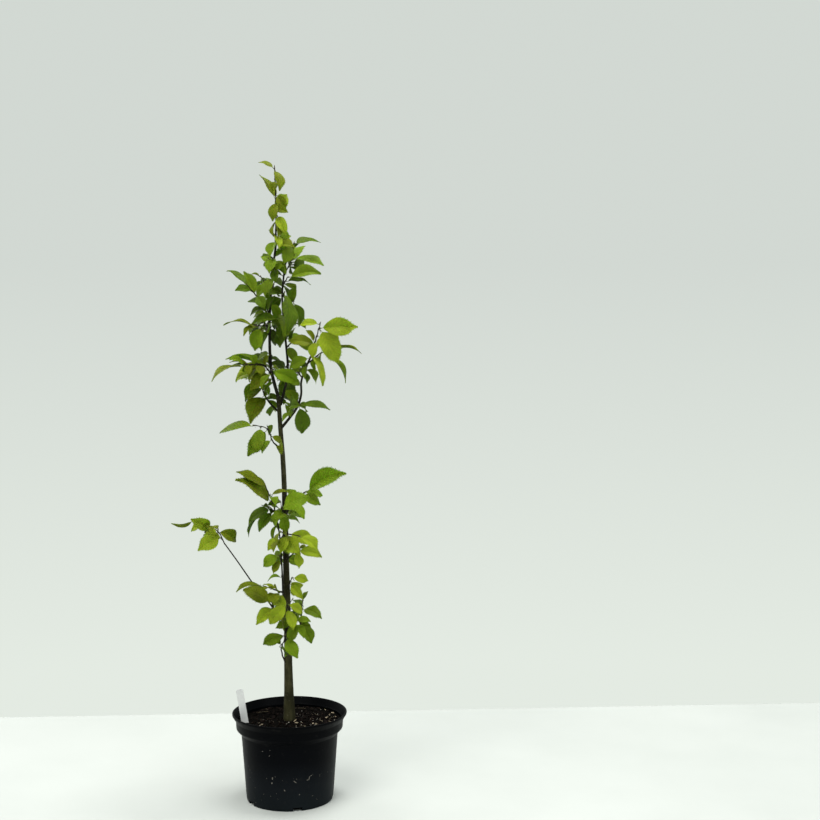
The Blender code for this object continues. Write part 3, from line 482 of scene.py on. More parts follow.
# Flecks on the pot: degrees from the front towards +X, height, length, width share, turn
POT_FLECKS = (
    (-17, 55, 4.6, 0.5, 50), (-18, 47, 3.4, 0.6, 20), (-2, 36, 3.2, 0.6, 80), (11, 50, 6.2, 0.25, 95),
    (13, 54, 3.2, 0.2, 80), (29, 53, 7.0, 0.22, 40), (31, 57, 6.0, 0.2, -30), (27, 51, 4.0, 0.3, 150),
    (-20, 92, 4.2, 0.16, 0), (-25, 54, 1.8, 0.7, 10), (17, 28, 1.6, 0.7, 60), (-19, 101, 1.6, 0.6, 0),
    (-29, 98, 2.2, 0.4, 120), (150, 40, 3.0, 0.4, 60), (118, 62, 3.6, 0.3, 20), (-120, 45, 3.2, 0.4, 70),
    (-88, 66, 2.6, 0.4, 110), (84, 38, 3.0, 0.35, 30), (-160, 74, 2.4, 0.5, 0),
)
SMALL_FLECKS = 70
SMALL_FLECK_HEIGHTS = (6.0, 70.0)
SMALL_FLECK_LENGTHS = (0.6, 1.6)
SMALL_FLECK_SHARE = 0.6
FLECK_THICKNESS = 0.5
FLECK_LIFT = 0.05

# Colours of the pot by height from the foot to the rim, its dust, and the soil's crumbs. The pot gets
# paler towards its foot partly with dust and partly with a painted sheen of the bright floor and painted
# light where shade falls at the foot
POT_SHEEN_AND_DUST = (
    (0.0, (0.0085, 0.0115, 0.0135)), (0.27, (0.006, 0.0076, 0.0098)),
    (0.56, (0.0012, 0.0016, 0.0026)), (1.0, (0.0005, 0.0007, 0.0012)),
)
POT_DUST = (0.03, 0.028, 0.025)
SOIL_TONES = (
    (0.32, (0.0006, 0.0005, 0.0004)), (0.52, (0.0015, 0.0012, 0.0008)),
    (0.66, (0.004, 0.0027, 0.0016)), (0.8, (0.016, 0.012, 0.007)),
)

# Barks: colours of the blotches, colours of the streaks, fineness of the streaks
YOUNG_STREAKS = ((0.3, (0.6, 0.6, 0.6)), (0.7, (1, 1, 1)))
BARKS = {
    "bark_old": (((0.3, (0.009, 0.0088, 0.003)), (0.5, (0.027, 0.026, 0.009)),
                  (0.7, (0.072, 0.068, 0.03))), ((0.3, (0.55, 0.54, 0.52)), (0.68, (1, 1, 1))), 330),
    "bark_young": (((0.3, (0.006, 0.006, 0.0035)), (0.74, (0.022, 0.02, 0.012))), YOUNG_STREAKS, 420),
    "bark_twig": (((0.3, (0.01, 0.009, 0.0045)), (0.75, (0.03, 0.025, 0.011))), YOUNG_STREAKS, 420),
}

# Other materials: dark and light colour, roughness, fineness of the mottle, specular
PAINTS = {
    "floor": ((0.48, 0.505, 0.485), (0.51, 0.535, 0.515), 0.6, 3, 0.1),
    "bud_brown": ((0.025, 0.016, 0.006), (0.065, 0.042, 0.015), 0.5, 300, 0.3),
    "stipule_brown": ((0.05, 0.028, 0.01), (0.11, 0.065, 0.028), 0.7, 300, 0.3),
    "rib_green": ((0.08, 0.12, 0.012), (0.13, 0.18, 0.02), 0.5, 300, 0.3),
    "lenticel_pale": ((0.06, 0.052, 0.034), (0.14, 0.125, 0.09), 0.8, 300, 0.3),
    "label_white": ((0.58, 0.59, 0.59), (0.69, 0.7, 0.69), 0.4, 60, 0.3),
    "bark_chips": ((0.0016, 0.0009, 0.0006), (0.009, 0.0042, 0.0024), 0.8, 160, 0.06),
    "dark_crumbs": ((0.0008, 0.0006, 0.0004), (0.003, 0.0022, 0.0014), 0.9, 220, 0.04),
    "pale_chips": ((0.1, 0.075, 0.045), (0.34, 0.28, 0.19), 0.7, 140, 0.3),
    "pale_grit": ((0.2, 0.185, 0.155), (0.38, 0.36, 0.31), 0.8, 400, 0.3),
    "straw": ((0.03, 0.022, 0.01), (0.09, 0.07, 0.032), 0.6, 120, 0.3),
    "dried_soil": ((0.06, 0.054, 0.045), (0.2, 0.185, 0.16), 0.9, 300, 0.3),
}

# The front view and its light
CAMERA_LENS = 62.6
CAMERA_SENSOR = 36.0
CAMERA_PITCH = -4.05
FLOOR_CORNERS = ((-4, -4, 0), (4, -4, 0), (4, 0.752, 0), (-4, 0.243, 0))
BACKDROP = (  # greys by how far a view direction rises, from -1 to 1
    (-0.24, (0.775, 0.83, 0.765)), (0.03, (0.645, 0.69, 0.65)), (0.3, (0.645, 0.69, 0.65)),
    (0.8, (0.3, 0.32, 0.31)),
)
LIGHTS_AIM = Vector((0.0, 0.0, 0.45))
LIGHTS = {  # place, size, power and colour
    "key_light": ((-1.3, -2.4, 4.6), 3.0, 188.0, (1.0, 0.99, 0.95)),
    "top_light": ((0.7, 0.5, 5.0), 2.2, 190.0, (1.0, 1.0, 0.97)),
    "fill_light": ((3.0, -2.6, 2.4), 2.6, 44.0, (0.96, 0.98, 1.0)),
    "rim_light": ((-2.2, 2.0, 2.6), 2.0, 40.0, (1.0, 1.0, 1.0)),
}


def square_to(direction, vector):
    """The part of a vector that is square to a direction, at a length of one."""
    return (vector - direction * vector.dot(direction)).normalized()


def turned_round(direction, turn):
    """A direction square to another, turned round it."""
    across = direction.orthogonal().normalized()
    return across * math.cos(turn) + direction.cross(across) * math.sin(turn)


def running_lengths(points):
    """Length along a line of points up to each of them."""
    lengths = [0.0]
    for start, end in zip(points, points[1:]):
        lengths.append(lengths[-1] + (end - start).length)
    return lengths


def stretch_at(lengths, wanted):
    """Which stretch between rising values holds the wanted one, and the share of it passed."""
    index = 0
    while index < len(lengths) - 2 and lengths[index + 1] < wanted:
        index += 1
    return index, (wanted - lengths[index]) / (lengths[index + 1] - lengths[index])


class Limb:
    """A round tapering limb: the points of its axis, its radius at each, and its foot's cut."""

    def __init__(self, axis, radii, cut_normal):
        self.axis = axis
        self.radii = radii
        self.cut_normal = cut_normal

    def direction(self, index):
        """Direction of the axis at one of its points."""
        before = self.axis[max(index - 1, 0)]
        after = self.axis[min(index + 1, len(self.axis) - 1)]
        return (after - before).normalized()

    def between(self, index, blend):
        """Point, direction and radius at a share of one stretch of the axis."""
        low, high = self.axis[index:index + 2]
        radius = self.radii[index] * (1 - blend) + self.radii[index + 1] * blend
        return low.lerp(high, blend), (high - low).normalized(), radius

    def along(self, share):
        """Point, direction and radius at a share of the length."""
        lengths = running_lengths(self.axis)
        return self.between(*stretch_at(lengths, share * lengths[-1]))

    def at_height(self, height):
        """Point, direction and radius where a rising limb passes a height."""
        return self.between(*stretch_at([point.z for point in self.axis], height))


def place(x, z, depth):
    """Where a point of the front view lies, slid along the line of sight to its depth."""
    seen = Vector((x, 0.0, z))
    return seen + (seen - EYE) * (depth / -EYE.y)


def smooth(points, step):
    """Evenly spaced points on a Catmull-Rom curve through the given ones."""
    ends = [points[0] * 2 - points[1]] + points + [points[-1] * 2 - points[-2]]
    fine = []
    for a, b, c, d in zip(ends, ends[1:], ends[2:], ends[3:]):
        for part in range(CURVE_PARTS):
            t = part / CURVE_PARTS
            fine.append(0.5 * (2 * b + (c - a) * t + (2 * a - 5 * b + 4 * c - d) * t ** 2
                               + (3 * b - a - 3 * c + d) * t ** 3))
    fine.append(points[-1].copy())
    lengths = running_lengths(fine)
    count = max(2, round(lengths[-1] / step))
    even = []
    for number in range(count + 1):
        index, blend = stretch_at(lengths, lengths[-1] * number / count)
        even.append(fine[index].lerp(fine[index + 1], min(max(blend, 0.0), 1.0)))
    return even


def resample(points, radii, step):
    """Closer points on a smooth curve through a limb's axis, with their radii."""
    fine = smooth(points, step)
    places, lengths = np.array(running_lengths(points)), np.array(running_lengths(fine))
    return fine, np.interp(lengths * places[-1] / lengths[-1], places, radii)


def grow_limb(parent, height, points, diameters, step, flare=0.0):
    """A limb from its parent's bark, or on from its tip, through the given points."""
    if parent is None:
        start, normal = points[0] + Vector((0, 0, GAP)), Vector((0, 0, 1))
        points = points[1:]
    elif height == TIP:
        normal = parent.direction(len(parent.axis) - 1)
        start = parent.axis[-1] + normal * GAP
    else:
        middle, direction, radius = parent.at_height(height)
        normal = square_to(direction, points[0] - middle)
        start = middle + normal * (radius + GAP)
    axis = smooth([start] + points, step)
    foot, tip = diameters
    radii = []
    for index, point in enumerate(axis):
        share = index / (len(axis) - 1)
        diameter = tip + (foot - tip) * (1 - share) ** TAPER_POWER
        diameter += flare * math.exp((start.z - point.z) / ROOT_FLARE_HEIGHT)
        radii.append(diameter / 2)
    return Limb(axis, radii, normal)


def tube(limb, sides):
    """Corners and faces of a limb's solid, its foot cut flush with what it grows from."""
    corners = []
    across = Vector((1, 0, 0))
    for index, (middle, radius) in enumerate(zip(limb.axis, limb.radii)):
        direction = limb.direction(index)
        across = square_to(direction, across)
        over = direction.cross(across)
        for side in range(sides):
            angle = math.tau * side / sides
            corner = middle + (across * math.cos(angle) + over * math.sin(angle)) * radius
            if index == 0:
                slide = (middle - corner).dot(limb.cut_normal) / direction.dot(limb.cut_normal)
                corner += direction * slide
            corners.append(corner)
    ends = [tuple(range(sides))[::-1], tuple(range(len(corners) - sides, len(corners)))]
    return corners, ends + grid(len(limb.axis), sides, closed=True).tolist()


def blade_share(t):
    """Half width of a hornbeam leaf at a share of its length, where the widest place is 1."""
    return math.sin(math.pi * t ** (math.log(0.5) / math.log(LEAF_WIDEST))) ** LEAF_FULLNESS


class Leaf:
    """Place and shape of one leaf: root in the stem, foot of the blade, axes and sizes."""

    def __init__(self, root, stem_direction, heading, lean, length, roll):
        turn, tilt, tip_over = math.radians(heading), math.radians(lean), math.radians(roll)
        reach = Vector((math.cos(turn), math.tan(tilt), math.sin(turn))) * length
        petiole = PETIOLE_SHARE * length + PETIOLE_EXTRA
        bend = reach.normalized() + stem_direction * PETIOLE_BEND
        self.root = root
        self.foot = root + bend.normalized() * petiole
        self.length = (root + reach - self.foot).length
        self.forward = (root + reach - self.foot).normalized()
        front = square_to(self.forward, Vector((0, -1, 0)))
        level = self.forward.cross(front)
        if level.z < 0:
            level = -level
        self.up = front * math.cos(tip_over) + level * math.sin(tip_over)
        self.across = self.up.cross(self.forward)
        self.half_width = (LEAF_WIDTH_SHARE * self.length + LEAF_WIDTH_EXTRA) / 2
        self.arch = LEAF_ARCH * self.length * min(1.0, 1.2 - self.forward.z)

    def middle(self, t):
        """A point of the midrib."""
        return self.foot + self.forward * (self.length * t) + self.up * (self.arch * 4 * t * (1 - t))

    def solid(self, extra=0.0, blade_only=False):
        """Corners and triangles of the closed leaf, fatter by extra where it tests its room."""
        fold = math.radians(LEAF_FOLD)
        corners = []
        for t in LEAF_STATIONS:
            half = max(self.half_width * blade_share(t), PETIOLE_WIDTH / 2) + extra
            thick = max(LEAF_THICKNESS * self.length * (1 - 0.5 * t), LEAF_LEAST_THICKNESS) / 2 + extra
            middle = self.middle(t)
            edge = self.up * (half * math.sin(fold))
            side = self.across * (half * math.cos(fold))
            corners += [middle - side + edge, middle - self.up * thick,
                        middle + side + edge, middle + self.up * thick]
        if not blade_only:
            side, rise = self.across * (PETIOLE_WIDTH / 2), self.up * (PETIOLE_WIDTH / 2)
            corners = [self.root - side, self.root - rise, self.root + side, self.root + rise] + corners
        corners.append(self.middle(1.0))
        point = len(corners) - 1
        faces = [(0, 2, 1), (0, 3, 2)]
        for a, b, c, d in grid(point // 4, 4, closed=True).tolist():
            faces += [(a, b, c), (a, c, d)]
        faces += [(point - 4 + side, point - 4 + (side + 1) % 4, point) for side in range(4)]
        return corners, faces


def tree_of(solid):
    """A search tree of a solid's faces."""
    corners, faces = solid
    return BVHTree.FromPolygons([tuple(corner) for corner in corners], faces)


def far_sprig(name):
    """Limb, height, points and leaves of a sprig on the far side, by a seeded rule."""
    limb, height, x, depth, count = FAR_SPRIGS[name]
    chance = random.Random(name)
    leaves = []
    for number in range(count):
        along = FAR_FIRST_LEAF + (100 - FAR_FIRST_LEAF) * number / (count - 1)
        spread = chance.uniform(*FAR_SPREAD)
        heading = -90 + (spread if number % 2 else -spread)
        leaves.append((along, heading, chance.uniform(*FAR_LENGTHS), chance.uniform(*FAR_ROLLS),
                       chance.uniform(*FAR_LEAN)))
    return limb, height, [(x, height + FAR_RISE * depth, depth)], leaves


def lay_out():
    """Every limb, sprig stem and leaf of the plant, the space they take and the sprigs."""
    limbs = {}
    for name, (parent, height, points, foot, tip) in LIMBS.items():
        limbs[name] = grow_limb(limbs.get(parent), height, [place(*point) for point in points],
                                (foot, tip), LIMB_RING_STEP, ROOT_FLARE if name == "trunk" else 0.0)
    sprigs = {**SPRIGS, **{name: far_sprig(name) for name in FAR_SPRIGS}}
    stems = {}
    for name, (limb, height, points, _) in sprigs.items():
        foot = limbs[limb].radii[-1] * 2 if height == TIP else SPRIG_FOOT_DIAMETER
        stems[name] = grow_limb(limbs[limb], height, [place(*point) for point in points],
                                (foot, SPRIG_TIP_DIAMETER), SPRIG_RING_STEP)
    taken = {name: [tree_of(tube(limb, THIN_LIMB_SIDES))] for name, limb in limbs.items()}
    taken.update({name: [tree_of(tube(stem, SPRIG_SIDES))] for name, stem in stems.items()})
    leaves = {name: place_leaves(name, stems[name], row[3], taken) for name, row in sprigs.items()}
    return limbs, stems, leaves, taken, sprigs


def place_leaves(name, stem, table, taken):
    """The leaves of one sprig that find room, each added to the space that is taken."""
    chance = random.Random(name)
    placed = []
    for number, (along, heading, length, roll, *own_lean) in enumerate(table):
        root, direction, _ = stem.along(min(along / 100, LAST_ROOT))
        drawn = chance.uniform(*LEAF_LEAN) * (1 if number % 2 else -1)
        lean = own_lean[0] if own_lean else drawn
        for more_lean, more_roll, size in TRIES:
            leaf = Leaf(root, direction, heading, lean + more_lean, length * size, roll + more_roll)
            if take_room(leaf, name, taken):
                placed.append(leaf)
                break
    return placed


def take_room(leaf, name, taken):
    """Add a leaf to the space that is taken if it is clear of every limb and every other leaf."""
    blade = tree_of(leaf.solid(LEAF_CLEARANCE, blade_only=True))
    whole = tree_of(leaf.solid(LEAF_CLEARANCE))
    for owner, trees in taken.items():
        test = blade if owner == name else whole
        if any(test.overlap(tree) for tree in trees):
            return False
    taken[name].append(tree_of(leaf.solid(blade_only=True)))
    return True


def pot_inner_radius(height):
    """Radius of the pot's inside at a height."""
    share = (height - POT_FOOT_BEVEL) / (POT_SHOULDER_HEIGHT - POT_FOOT_BEVEL)
    wall = POT_BODY_FOOT_RADIUS + (POT_SHOULDER_RADIUS - POT_BODY_FOOT_RADIUS) * share
    if height > POT_SHOULDER_HEIGHT:
        share = (height - POT_SHOULDER_HEIGHT) / (POT_COLLAR_HEIGHT - POT_SHOULDER_HEIGHT)
        wall = POT_SHOULDER_RADIUS + (POT_COLLAR_RADIUS - POT_SHOULDER_RADIUS) * min(share, 1.0)
    return wall - POT_WALL


def soil_height(x, y, share):
    """Height of the soil: level round the trunk, uneven further out, lower at the edge."""
    first, second, third = SOIL_WAVES
    bumps = math.sin(x / first + 1) * math.cos(y / second) + 0.5 * math.sin((x + 2 * y) / third)
    amount = (share - SOIL_LEVEL_SHARE) / (SOIL_ROUGH_SHARE - SOIL_LEVEL_SHARE)
    rough = SOIL_UNEVEN * bumps / 1.5 * min(max(amount, 0.0), 1.0)
    return SOIL_TOP + rough - SOIL_EDGE_DROP * max(share - SOIL_EDGE_SHARE, 0.0) / (1 - SOIL_EDGE_SHARE)


def add_object(name, data):
    """A new object in the scene."""
    made = bpy.data.objects.new(name, data)
    bpy.context.scene.collection.objects.link(made)
    return made


class Pile:
    """Corners and faces of many small things that make one mesh."""

    def __init__(self):
        self.corners = []
        self.quads = [np.zeros((0, 4), int)]
        self.triangles = [np.zeros((0, 3), int)]
        self.count = 0

    def add(self, corners, quads, triangles=()):
        """Add a thing's corners in millimetres, and its faces by their numbers."""
        self.corners.append(np.asarray(corners, float))
        self.quads.append(quads + self.count)
        self.triangles.append(np.asarray(triangles, int).reshape(-1, 3) + self.count)
        self.count += len(corners)

    def piece(self, name, coat, slot, sharp=50.0, nodes=()):
        """The object made of everything in the pile, in place of the given nodes."""
        quads, triangles = np.concatenate(self.quads), np.concatenate(self.triangles)
        mesh = bpy.data.meshes.new(name)
        mesh.vertices.add(self.count)
        mesh.vertices.foreach_set("co", (np.concatenate(self.corners) * MM).ravel())
        mesh.loops.add(quads.size + triangles.size)
        mesh.loops.foreach_set("vertex_index", np.concatenate([quads.ravel(), triangles.ravel()]))
        mesh.polygons.add(len(quads) + len(triangles))
        mesh.polygons.foreach_set("loop_start", np.concatenate([
            np.arange(len(quads)) * 4, quads.size + np.arange(len(triangles)) * 3]))
        mesh.update(calc_edges=True)
        mesh.validate()
        mesh.materials.append(coat)
        mesh.shade_smooth()
        mesh.set_sharp_from_angle(angle=math.radians(sharp))
        made = add_object(name, mesh)
        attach(made, "root")
        if nodes:
            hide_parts(*nodes)
        return made


def unit(vector):
    """A vector of length one."""
    return vector / np.linalg.norm(vector)


def soft_step(value, low, high):
    """0 below low, 1 above high and a soft rise between."""
    share = np.clip((value - low) / (high - low), 0, 1)
    return share * share * (3 - 2 * share)


def grid(rows, columns, closed=False):
    """Quads between rows of corners, whose columns may close into a ring."""
    row, column = np.meshgrid(np.arange(rows - 1), np.arange(columns if closed else columns - 1),
                              indexing="ij")
    corner, after = (row * columns + column).ravel(), (row * columns + (column + 1) % columns).ravel()
    return np.stack([corner, after, after + columns, corner + columns], axis=1)


def capped(rings, first, last):
    """Corners, quads and end triangles of a tube of rings, with a middle point at each end."""
    count, sides = rings.shape[:2]
    corners = np.concatenate([rings.reshape(-1, 3), [first], [last]])
    ring = np.arange(sides)
    after = (ring + 1) % sides
    end = (count - 1) * sides
    caps = np.concatenate([
        np.stack([after, ring, np.full(sides, count * sides)], axis=1),
        np.stack([end + ring, end + after, np.full(sides, count * sides + 1)], axis=1)])
    return corners, grid(count, sides, closed=True), caps


def slab(upper, lower):
    """Corners and quads of a closed thin sheet between two layers of rows of corners."""
    rows, columns = upper.shape[:2]
    number = np.arange(rows * columns).reshape(rows, columns)
    edge = np.concatenate([number[:, 0], number[-1, 1:], number[-2::-1, -1], number[0, -2:0:-1]])
    after = np.roll(edge, -1)
    below = rows * columns
    rim = np.stack([edge + below, after + below, after, edge], axis=1)
    faces = grid(rows, columns)
    return (np.concatenate([upper.reshape(-1, 3), lower.reshape(-1, 3)]),
            np.concatenate([faces[:, ::-1], faces + below, rim]))


def rings_along(points, radii, sides):
    """Rings of corners round a line of points."""
    points = np.asarray(points, float)
    ahead = np.gradient(points, axis=0)
    ahead /= np.linalg.norm(ahead, axis=1)[:, None]
    across = np.cross(ahead[0], OFF_AXIS)
    angles = np.arange(sides) / sides * math.tau
    rings = np.zeros((len(points), sides, 3))
    for index, (point, radius) in enumerate(zip(points, radii)):
        across = unit(across - ahead[index] * across.dot(ahead[index]))
        over = np.cross(ahead[index], across)
        rings[index] = point + radius * (np.cos(angles)[:, None] * across
                                         + np.sin(angles)[:, None] * over)
    return rings


def sweep(points, radii, sides):
    """A closed round tube along points."""
    return capped(rings_along(points, radii, sides), points[0], points[-1])


def midrib(leaf, form, t):
    """Points of the midrib: arched as the solid's, and hanging a little with its weight."""
    forward, up = np.array(leaf.forward), np.array(leaf.up)
    down = np.array([0, 0, -1.0]) + forward * leaf.forward.z
    t = np.asarray(t)[..., None]
    line = np.array(leaf.foot) + forward * leaf.length * t + up * leaf.arch * 4 * t * (1 - t)
    line = line + down * leaf.length * form.droop * (t ** 3 - t)
    return line + np.array(leaf.across) * leaf.length * form.sway * (t ** 2 - t)


def add_leaf(pile, leaf, form, seed):
    """Add a closed thin blade, pleated between its veins and toothed along its margin."""
    chance = random.Random(seed)
    phases = [(chance.uniform(*UNEVEN_WAVES), chance.uniform(0, math.tau)) for _ in range(2)]
    ripple = chance.uniform(0, math.tau)
    veins = VEINS if leaf.length > SMALL_LEAF else SMALL_LEAF_VEINS
    rows = veins * VEIN_PARTS + 1
    u = np.linspace(0, 1, rows)[:, None]
    side = np.array(COLUMNS)[None, :]
    ends = 1 - (1 - u) ** VEIN_LEAN
    t = u + (ends - u) * side ** VEIN_CURVE
    full = np.sin(math.pi * ends ** (math.log(0.5) / math.log(form.widest))) ** LEAF_FULLNESS
    tail = 1 - form.tail * soft_step(ends, form.tail_start, 1.0)
    half = np.maximum(leaf.half_width * form.breadth * full * tail, LEAST_HALF_WIDTH)
    phase = np.arange(rows) % VEIN_PARTS
    swell = np.sin(math.pi * np.clip(u[:, 0], 0.015, 0.985))
    tooth = TOOTH_SHARE * leaf.length * np.array(TEETH)[phase] * swell ** 0.4
    t[:, -1] += TOOTH_FORWARD * tooth / leaf.length
    t = np.clip(t, 0, 1)
    pleat = np.array(PLEAT)[phase][:, None] * np.array(COLUMN_PLEAT)[None, :]
    pleat = pleat * PLEAT_SHARE * leaf.length * swell[:, None] ** 0.5
    vein = (phase == 0)[:, None] * np.array(COLUMN_VEIN)[None, :] * VEIN_RISE
    turn, fold = math.radians(form.twist) * t, math.radians(form.fold)
    across, up = np.array(leaf.across), np.array(leaf.up)
    line = midrib(leaf, form, t)
    sheets = []
    for sign, (waves, start) in zip((-1, 1), phases):
        edge = half * (1 + UNEVEN * np.sin(waves * ends + start))
        lift = edge * side * math.sin(fold) * (1.1 - 0.15 * side ** 2) + pleat
        lift += form.wave * leaf.length * side ** 2 * np.sin(form.waves * t + ripple + sign)
        out = edge * side
        out[:, -1] += tooth
        wide = sign * out * math.cos(fold)
        x = wide * np.cos(turn) - lift * np.sin(turn)
        z = lift * np.cos(turn) + wide * np.sin(turn)
        sheets.append(line + x[..., None] * across + z[..., None] * up)
    sheet = np.concatenate([sheets[0][:, :0:-1], sheets[1]], axis=1)
    vein = np.concatenate([vein[:, :0:-1], vein], axis=1)
    pile.add(*slab(sheet + up * (BLADE_THICKNESS / 2),
                   sheet - (BLADE_THICKNESS / 2 + vein)[..., None] * up))


def add_rib(pile, leaf, form):
    """Add a leaf's petiole, and the midrib that runs on from it under the blade."""
    root, foot, up = np.array(leaf.root), np.array(leaf.foot), np.array(leaf.up)
    share = np.arange(PETIOLE_STEPS) / PETIOLE_STEPS
    line = root + (foot - root) * share[:, None]
    line = line - up * (PETIOLE_SAG * np.sin(math.pi * share))[:, None]
    thick, thin = PETIOLE_DIAMETERS
    radii = thin / 2 + (thick - thin) / 2 * (1 - share) ** 3
    t = np.linspace(0, 0.97, RIB_STEPS)
    thick, thin = RIB_DIAMETERS
    rib_radii = thick / 2 + (thin - thick) / 2 * t ** 0.7
    rib = midrib(leaf, form, t) - up * (0.7 * rib_radii)[:, None]
    pile.add(*sweep(np.concatenate([line, rib]), np.concatenate([radii, rib_radii]), RIB_SIDES))


def add_bud(pile, base, direction, length):
    """Add a slender pointed bud."""
    direction = unit(direction)
    points = [base + direction * (length * share) for share, _ in BUD_PROFILE]
    pile.add(*sweep(points, [length * BUD_WIDTH * width for _, width in BUD_PROFILE], BUD_SIDES))


def add_stipule(pile, base, direction, length, chance):
    """Add a narrow dry scale that hangs on at a node."""
    direction = unit(direction)
    side = unit(np.cross(direction, [chance.uniform(-1, 1), chance.uniform(-1, 1), 0.2]))
    over = np.cross(direction, side)
    share = np.linspace(0, 1, STIPULE_STEPS)[:, None, None]
    angles = np.arange(4)[:, None] * (math.tau / 4)
    wide = STIPULE_WIDTH * np.sin(math.pi * (0.12 + 0.8 * share)) * np.cos(angles)
    thick = STIPULE_THICKNESS * np.sin(angles) + STIPULE_CURL * np.sin(3 * share)
    rings = base + direction * length * share + np.array(STIPULE_SAG) * length * share ** 2
    rings = rings + side * wide + over * thick
    pile.add(*capped(rings, rings[0].mean(0), rings[-1].mean(0)))


def add_twig(pile, stem, leaves, seed):
    """Add a stem, a little crooked, with a swelling where each leaf grows."""
    points, radii = resample([stem.axis[0] - stem.direction(0) * SUNK] + stem.axis,
                             [stem.radii[0]] + stem.radii, TWIG_STEP)
    chance = random.Random(seed)
    side = Vector((chance.uniform(-1, 1), chance.uniform(-1, 1), 0)).normalized()
    line, thick = [], []
    for index, (point, radius) in enumerate(zip(points, radii)):
        near = min(((point - leaf.root).length for leaf in leaves), default=math.inf)
        swell = NODE_SWELLING * math.exp(-(near / NODE_LENGTH) ** 2)
        crook = TWIG_ZIGZAG * math.sin(index * 0.9) * min(1.0, index / 4)
        line.append(np.array(point + side * crook))
        thick.append(radius + swell + TWIG_ROUGHNESS * noise.noise(point * 0.9))
    thick[-1] *= 0.7
    pile.add(*sweep(line, thick, TWIG_SIDES))


def nearest_direction(stem, point):
    """Direction of a stem where it passes closest to a point."""
    spans = zip(stem.axis, stem.axis[1:])
    start, end = min(spans, key=lambda span: ((span[0] + span[1]) / 2 - point).length)
    return (end - start).normalized()


def fine_twigs(name, stem, taken):
    """Finer twigs of a sprig, each with a small leaf or two, in the room that is left."""
    chance = random.Random(name + "_fine")
    low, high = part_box(name)
    grown = []
    for _ in range(FINE_TWIG_TRIES):
        root, direction, _ = stem.along(chance.uniform(*FINE_TWIG_PLACES))
        away = chance.choice((-1, 1))
        side = Vector((chance.uniform(-0.6, 0.6), away, chance.uniform(0, 0.5)))
        side = square_to(direction, side)
        length = chance.uniform(*FINE_TWIG_LENGTHS)
        tip = root + (side + direction * chance.uniform(*FINE_TWIG_FORWARD)).normalized() * length
        bend = root.lerp(tip, 0.5) + direction * chance.uniform(*FINE_TWIG_BEND)
        thick, thin = FINE_DIAMETERS
        small = []
        for number in range(chance.choice((1, 2))):
            hanging = chance.random() < HANGING_CHANCE
            heading = chance.uniform(*(HANGING_HEADINGS if hanging else RISING_HEADINGS))
            lean = chance.uniform(*FINE_LEAF_LEAN) * away
            leaf = Leaf(bend if number else tip, direction, heading, lean,
                        chance.uniform(*FINE_LEAF_LENGTHS), chance.uniform(*FINE_LEAF_ROLLS))
            end = leaf.middle(1.0) * MM
            inside = all(low[axis] < end[axis] < high[axis] for axis in range(3))
            if inside and take_room(leaf, name, taken):
                small.append(leaf)
        if small:
            twig = Limb([root, bend, tip], [thick / 2, (thick + thin) / 4, thin / 2], side)
            grown.append((twig, small))
        if len(grown) == FINE_TWIGS:
            break
    return grown


def bark_skin(name, limb, feet):
    """A limb's closed skin with the relief of its bark, a collar round each foot on it."""
    sunk, flutes = limb.direction(0) * (limb.radii[0] * 0.6 + SUNK), 0.0
    if name == "trunk":
        sunk, flutes = Vector((0, 0, TRUNK_SUNK)), FLUTES
    points, radii = resample([limb.axis[0] - sunk] + limb.axis, [limb.radii[0]] + limb.radii, BARK_STEP)
    sides = BARK_SIDES.get(name, THIN_BARK_SIDES)
    rings = rings_along(points, radii, sides)
    for index, (centre, radius) in enumerate(zip(points, radii)):
        close = [foot for foot in feet
                 if (foot[0] - centre).length < radius + foot[1] * COLLAR_REACH]
        flute = flutes * radius * math.exp(-(centre.z - SOIL_TOP) / FLUTE_HEIGHT)
        for turn in range(sides):
            corner = Vector(rings[index, turn])
            outward = (corner - centre) / radius
            angle = math.atan2(outward.y, outward.x)
            change = BARK_GRAIN * noise.noise(corner * GRAIN_FINENESS)
            for share, around, height, offset in BARK_WAVES:
                change += share * radius * noise.noise(Vector((
                    outward.x * around, outward.y * around, centre.z / height + offset)))
            change += flute * math.sin(FLUTE_COUNT * angle + 1)
            for foot, size in close:
                away = (corner - foot).length / (COLLAR_WIDTH * size)
                change += COLLAR_SHARE * size * math.exp(-away ** 2)
            rings[index, turn] += np.array(outward) * change
    return capped(rings, points[0], points[-1])


def add_lenticels(pile, name, limb, count):
    """Add the small raised pores that lie crosswise on the bark."""
    chance = random.Random(name)
    angles = np.arange(LENTICEL_SIDES)[:, None] / LENTICEL_SIDES * math.tau
    for _ in range(count):
        middle, direction, radius = limb.along(chance.random() ** LENTICEL_CROWDING)
        outward = turned_round(direction, chance.uniform(0, math.tau))
        sideways = np.array(direction.cross(outward)) * chance.uniform(*LENTICEL_HALF_LENGTHS)
        along = np.array(direction) * chance.uniform(*LENTICEL_HALF_HEIGHTS)
        out = np.array(outward)
        base = np.array(middle) + out * (radius * 0.97)
        rings = [base + out * rise + (np.cos(angles) * sideways + np.sin(angles) * along) * size
                 for size, rise in LENTICEL_PROFILE]
        pile.add(*capped(np.array(rings), base, base + out * LENTICEL_TOP))


def rounded(profile, radius, parts=4):
    """A profile of (radius, height) with its inner corners rounded."""
    points = [Vector(point) for point in profile]
    made = [points[0]]
    for before, corner, after in zip(points, points[1:], points[2:]):
        start = corner + (before - corner) * min(radius / (before - corner).length, 0.45)
        end = corner + (after - corner) * min(radius / (after - corner).length, 0.45)
        for part in range(parts + 1):
            t = part / parts
            made.append(start * (1 - t) ** 2 + corner * 2 * t * (1 - t) + end * t * t)
    return [(point.x, point.y) for point in made] + [tuple(profile[-1])]


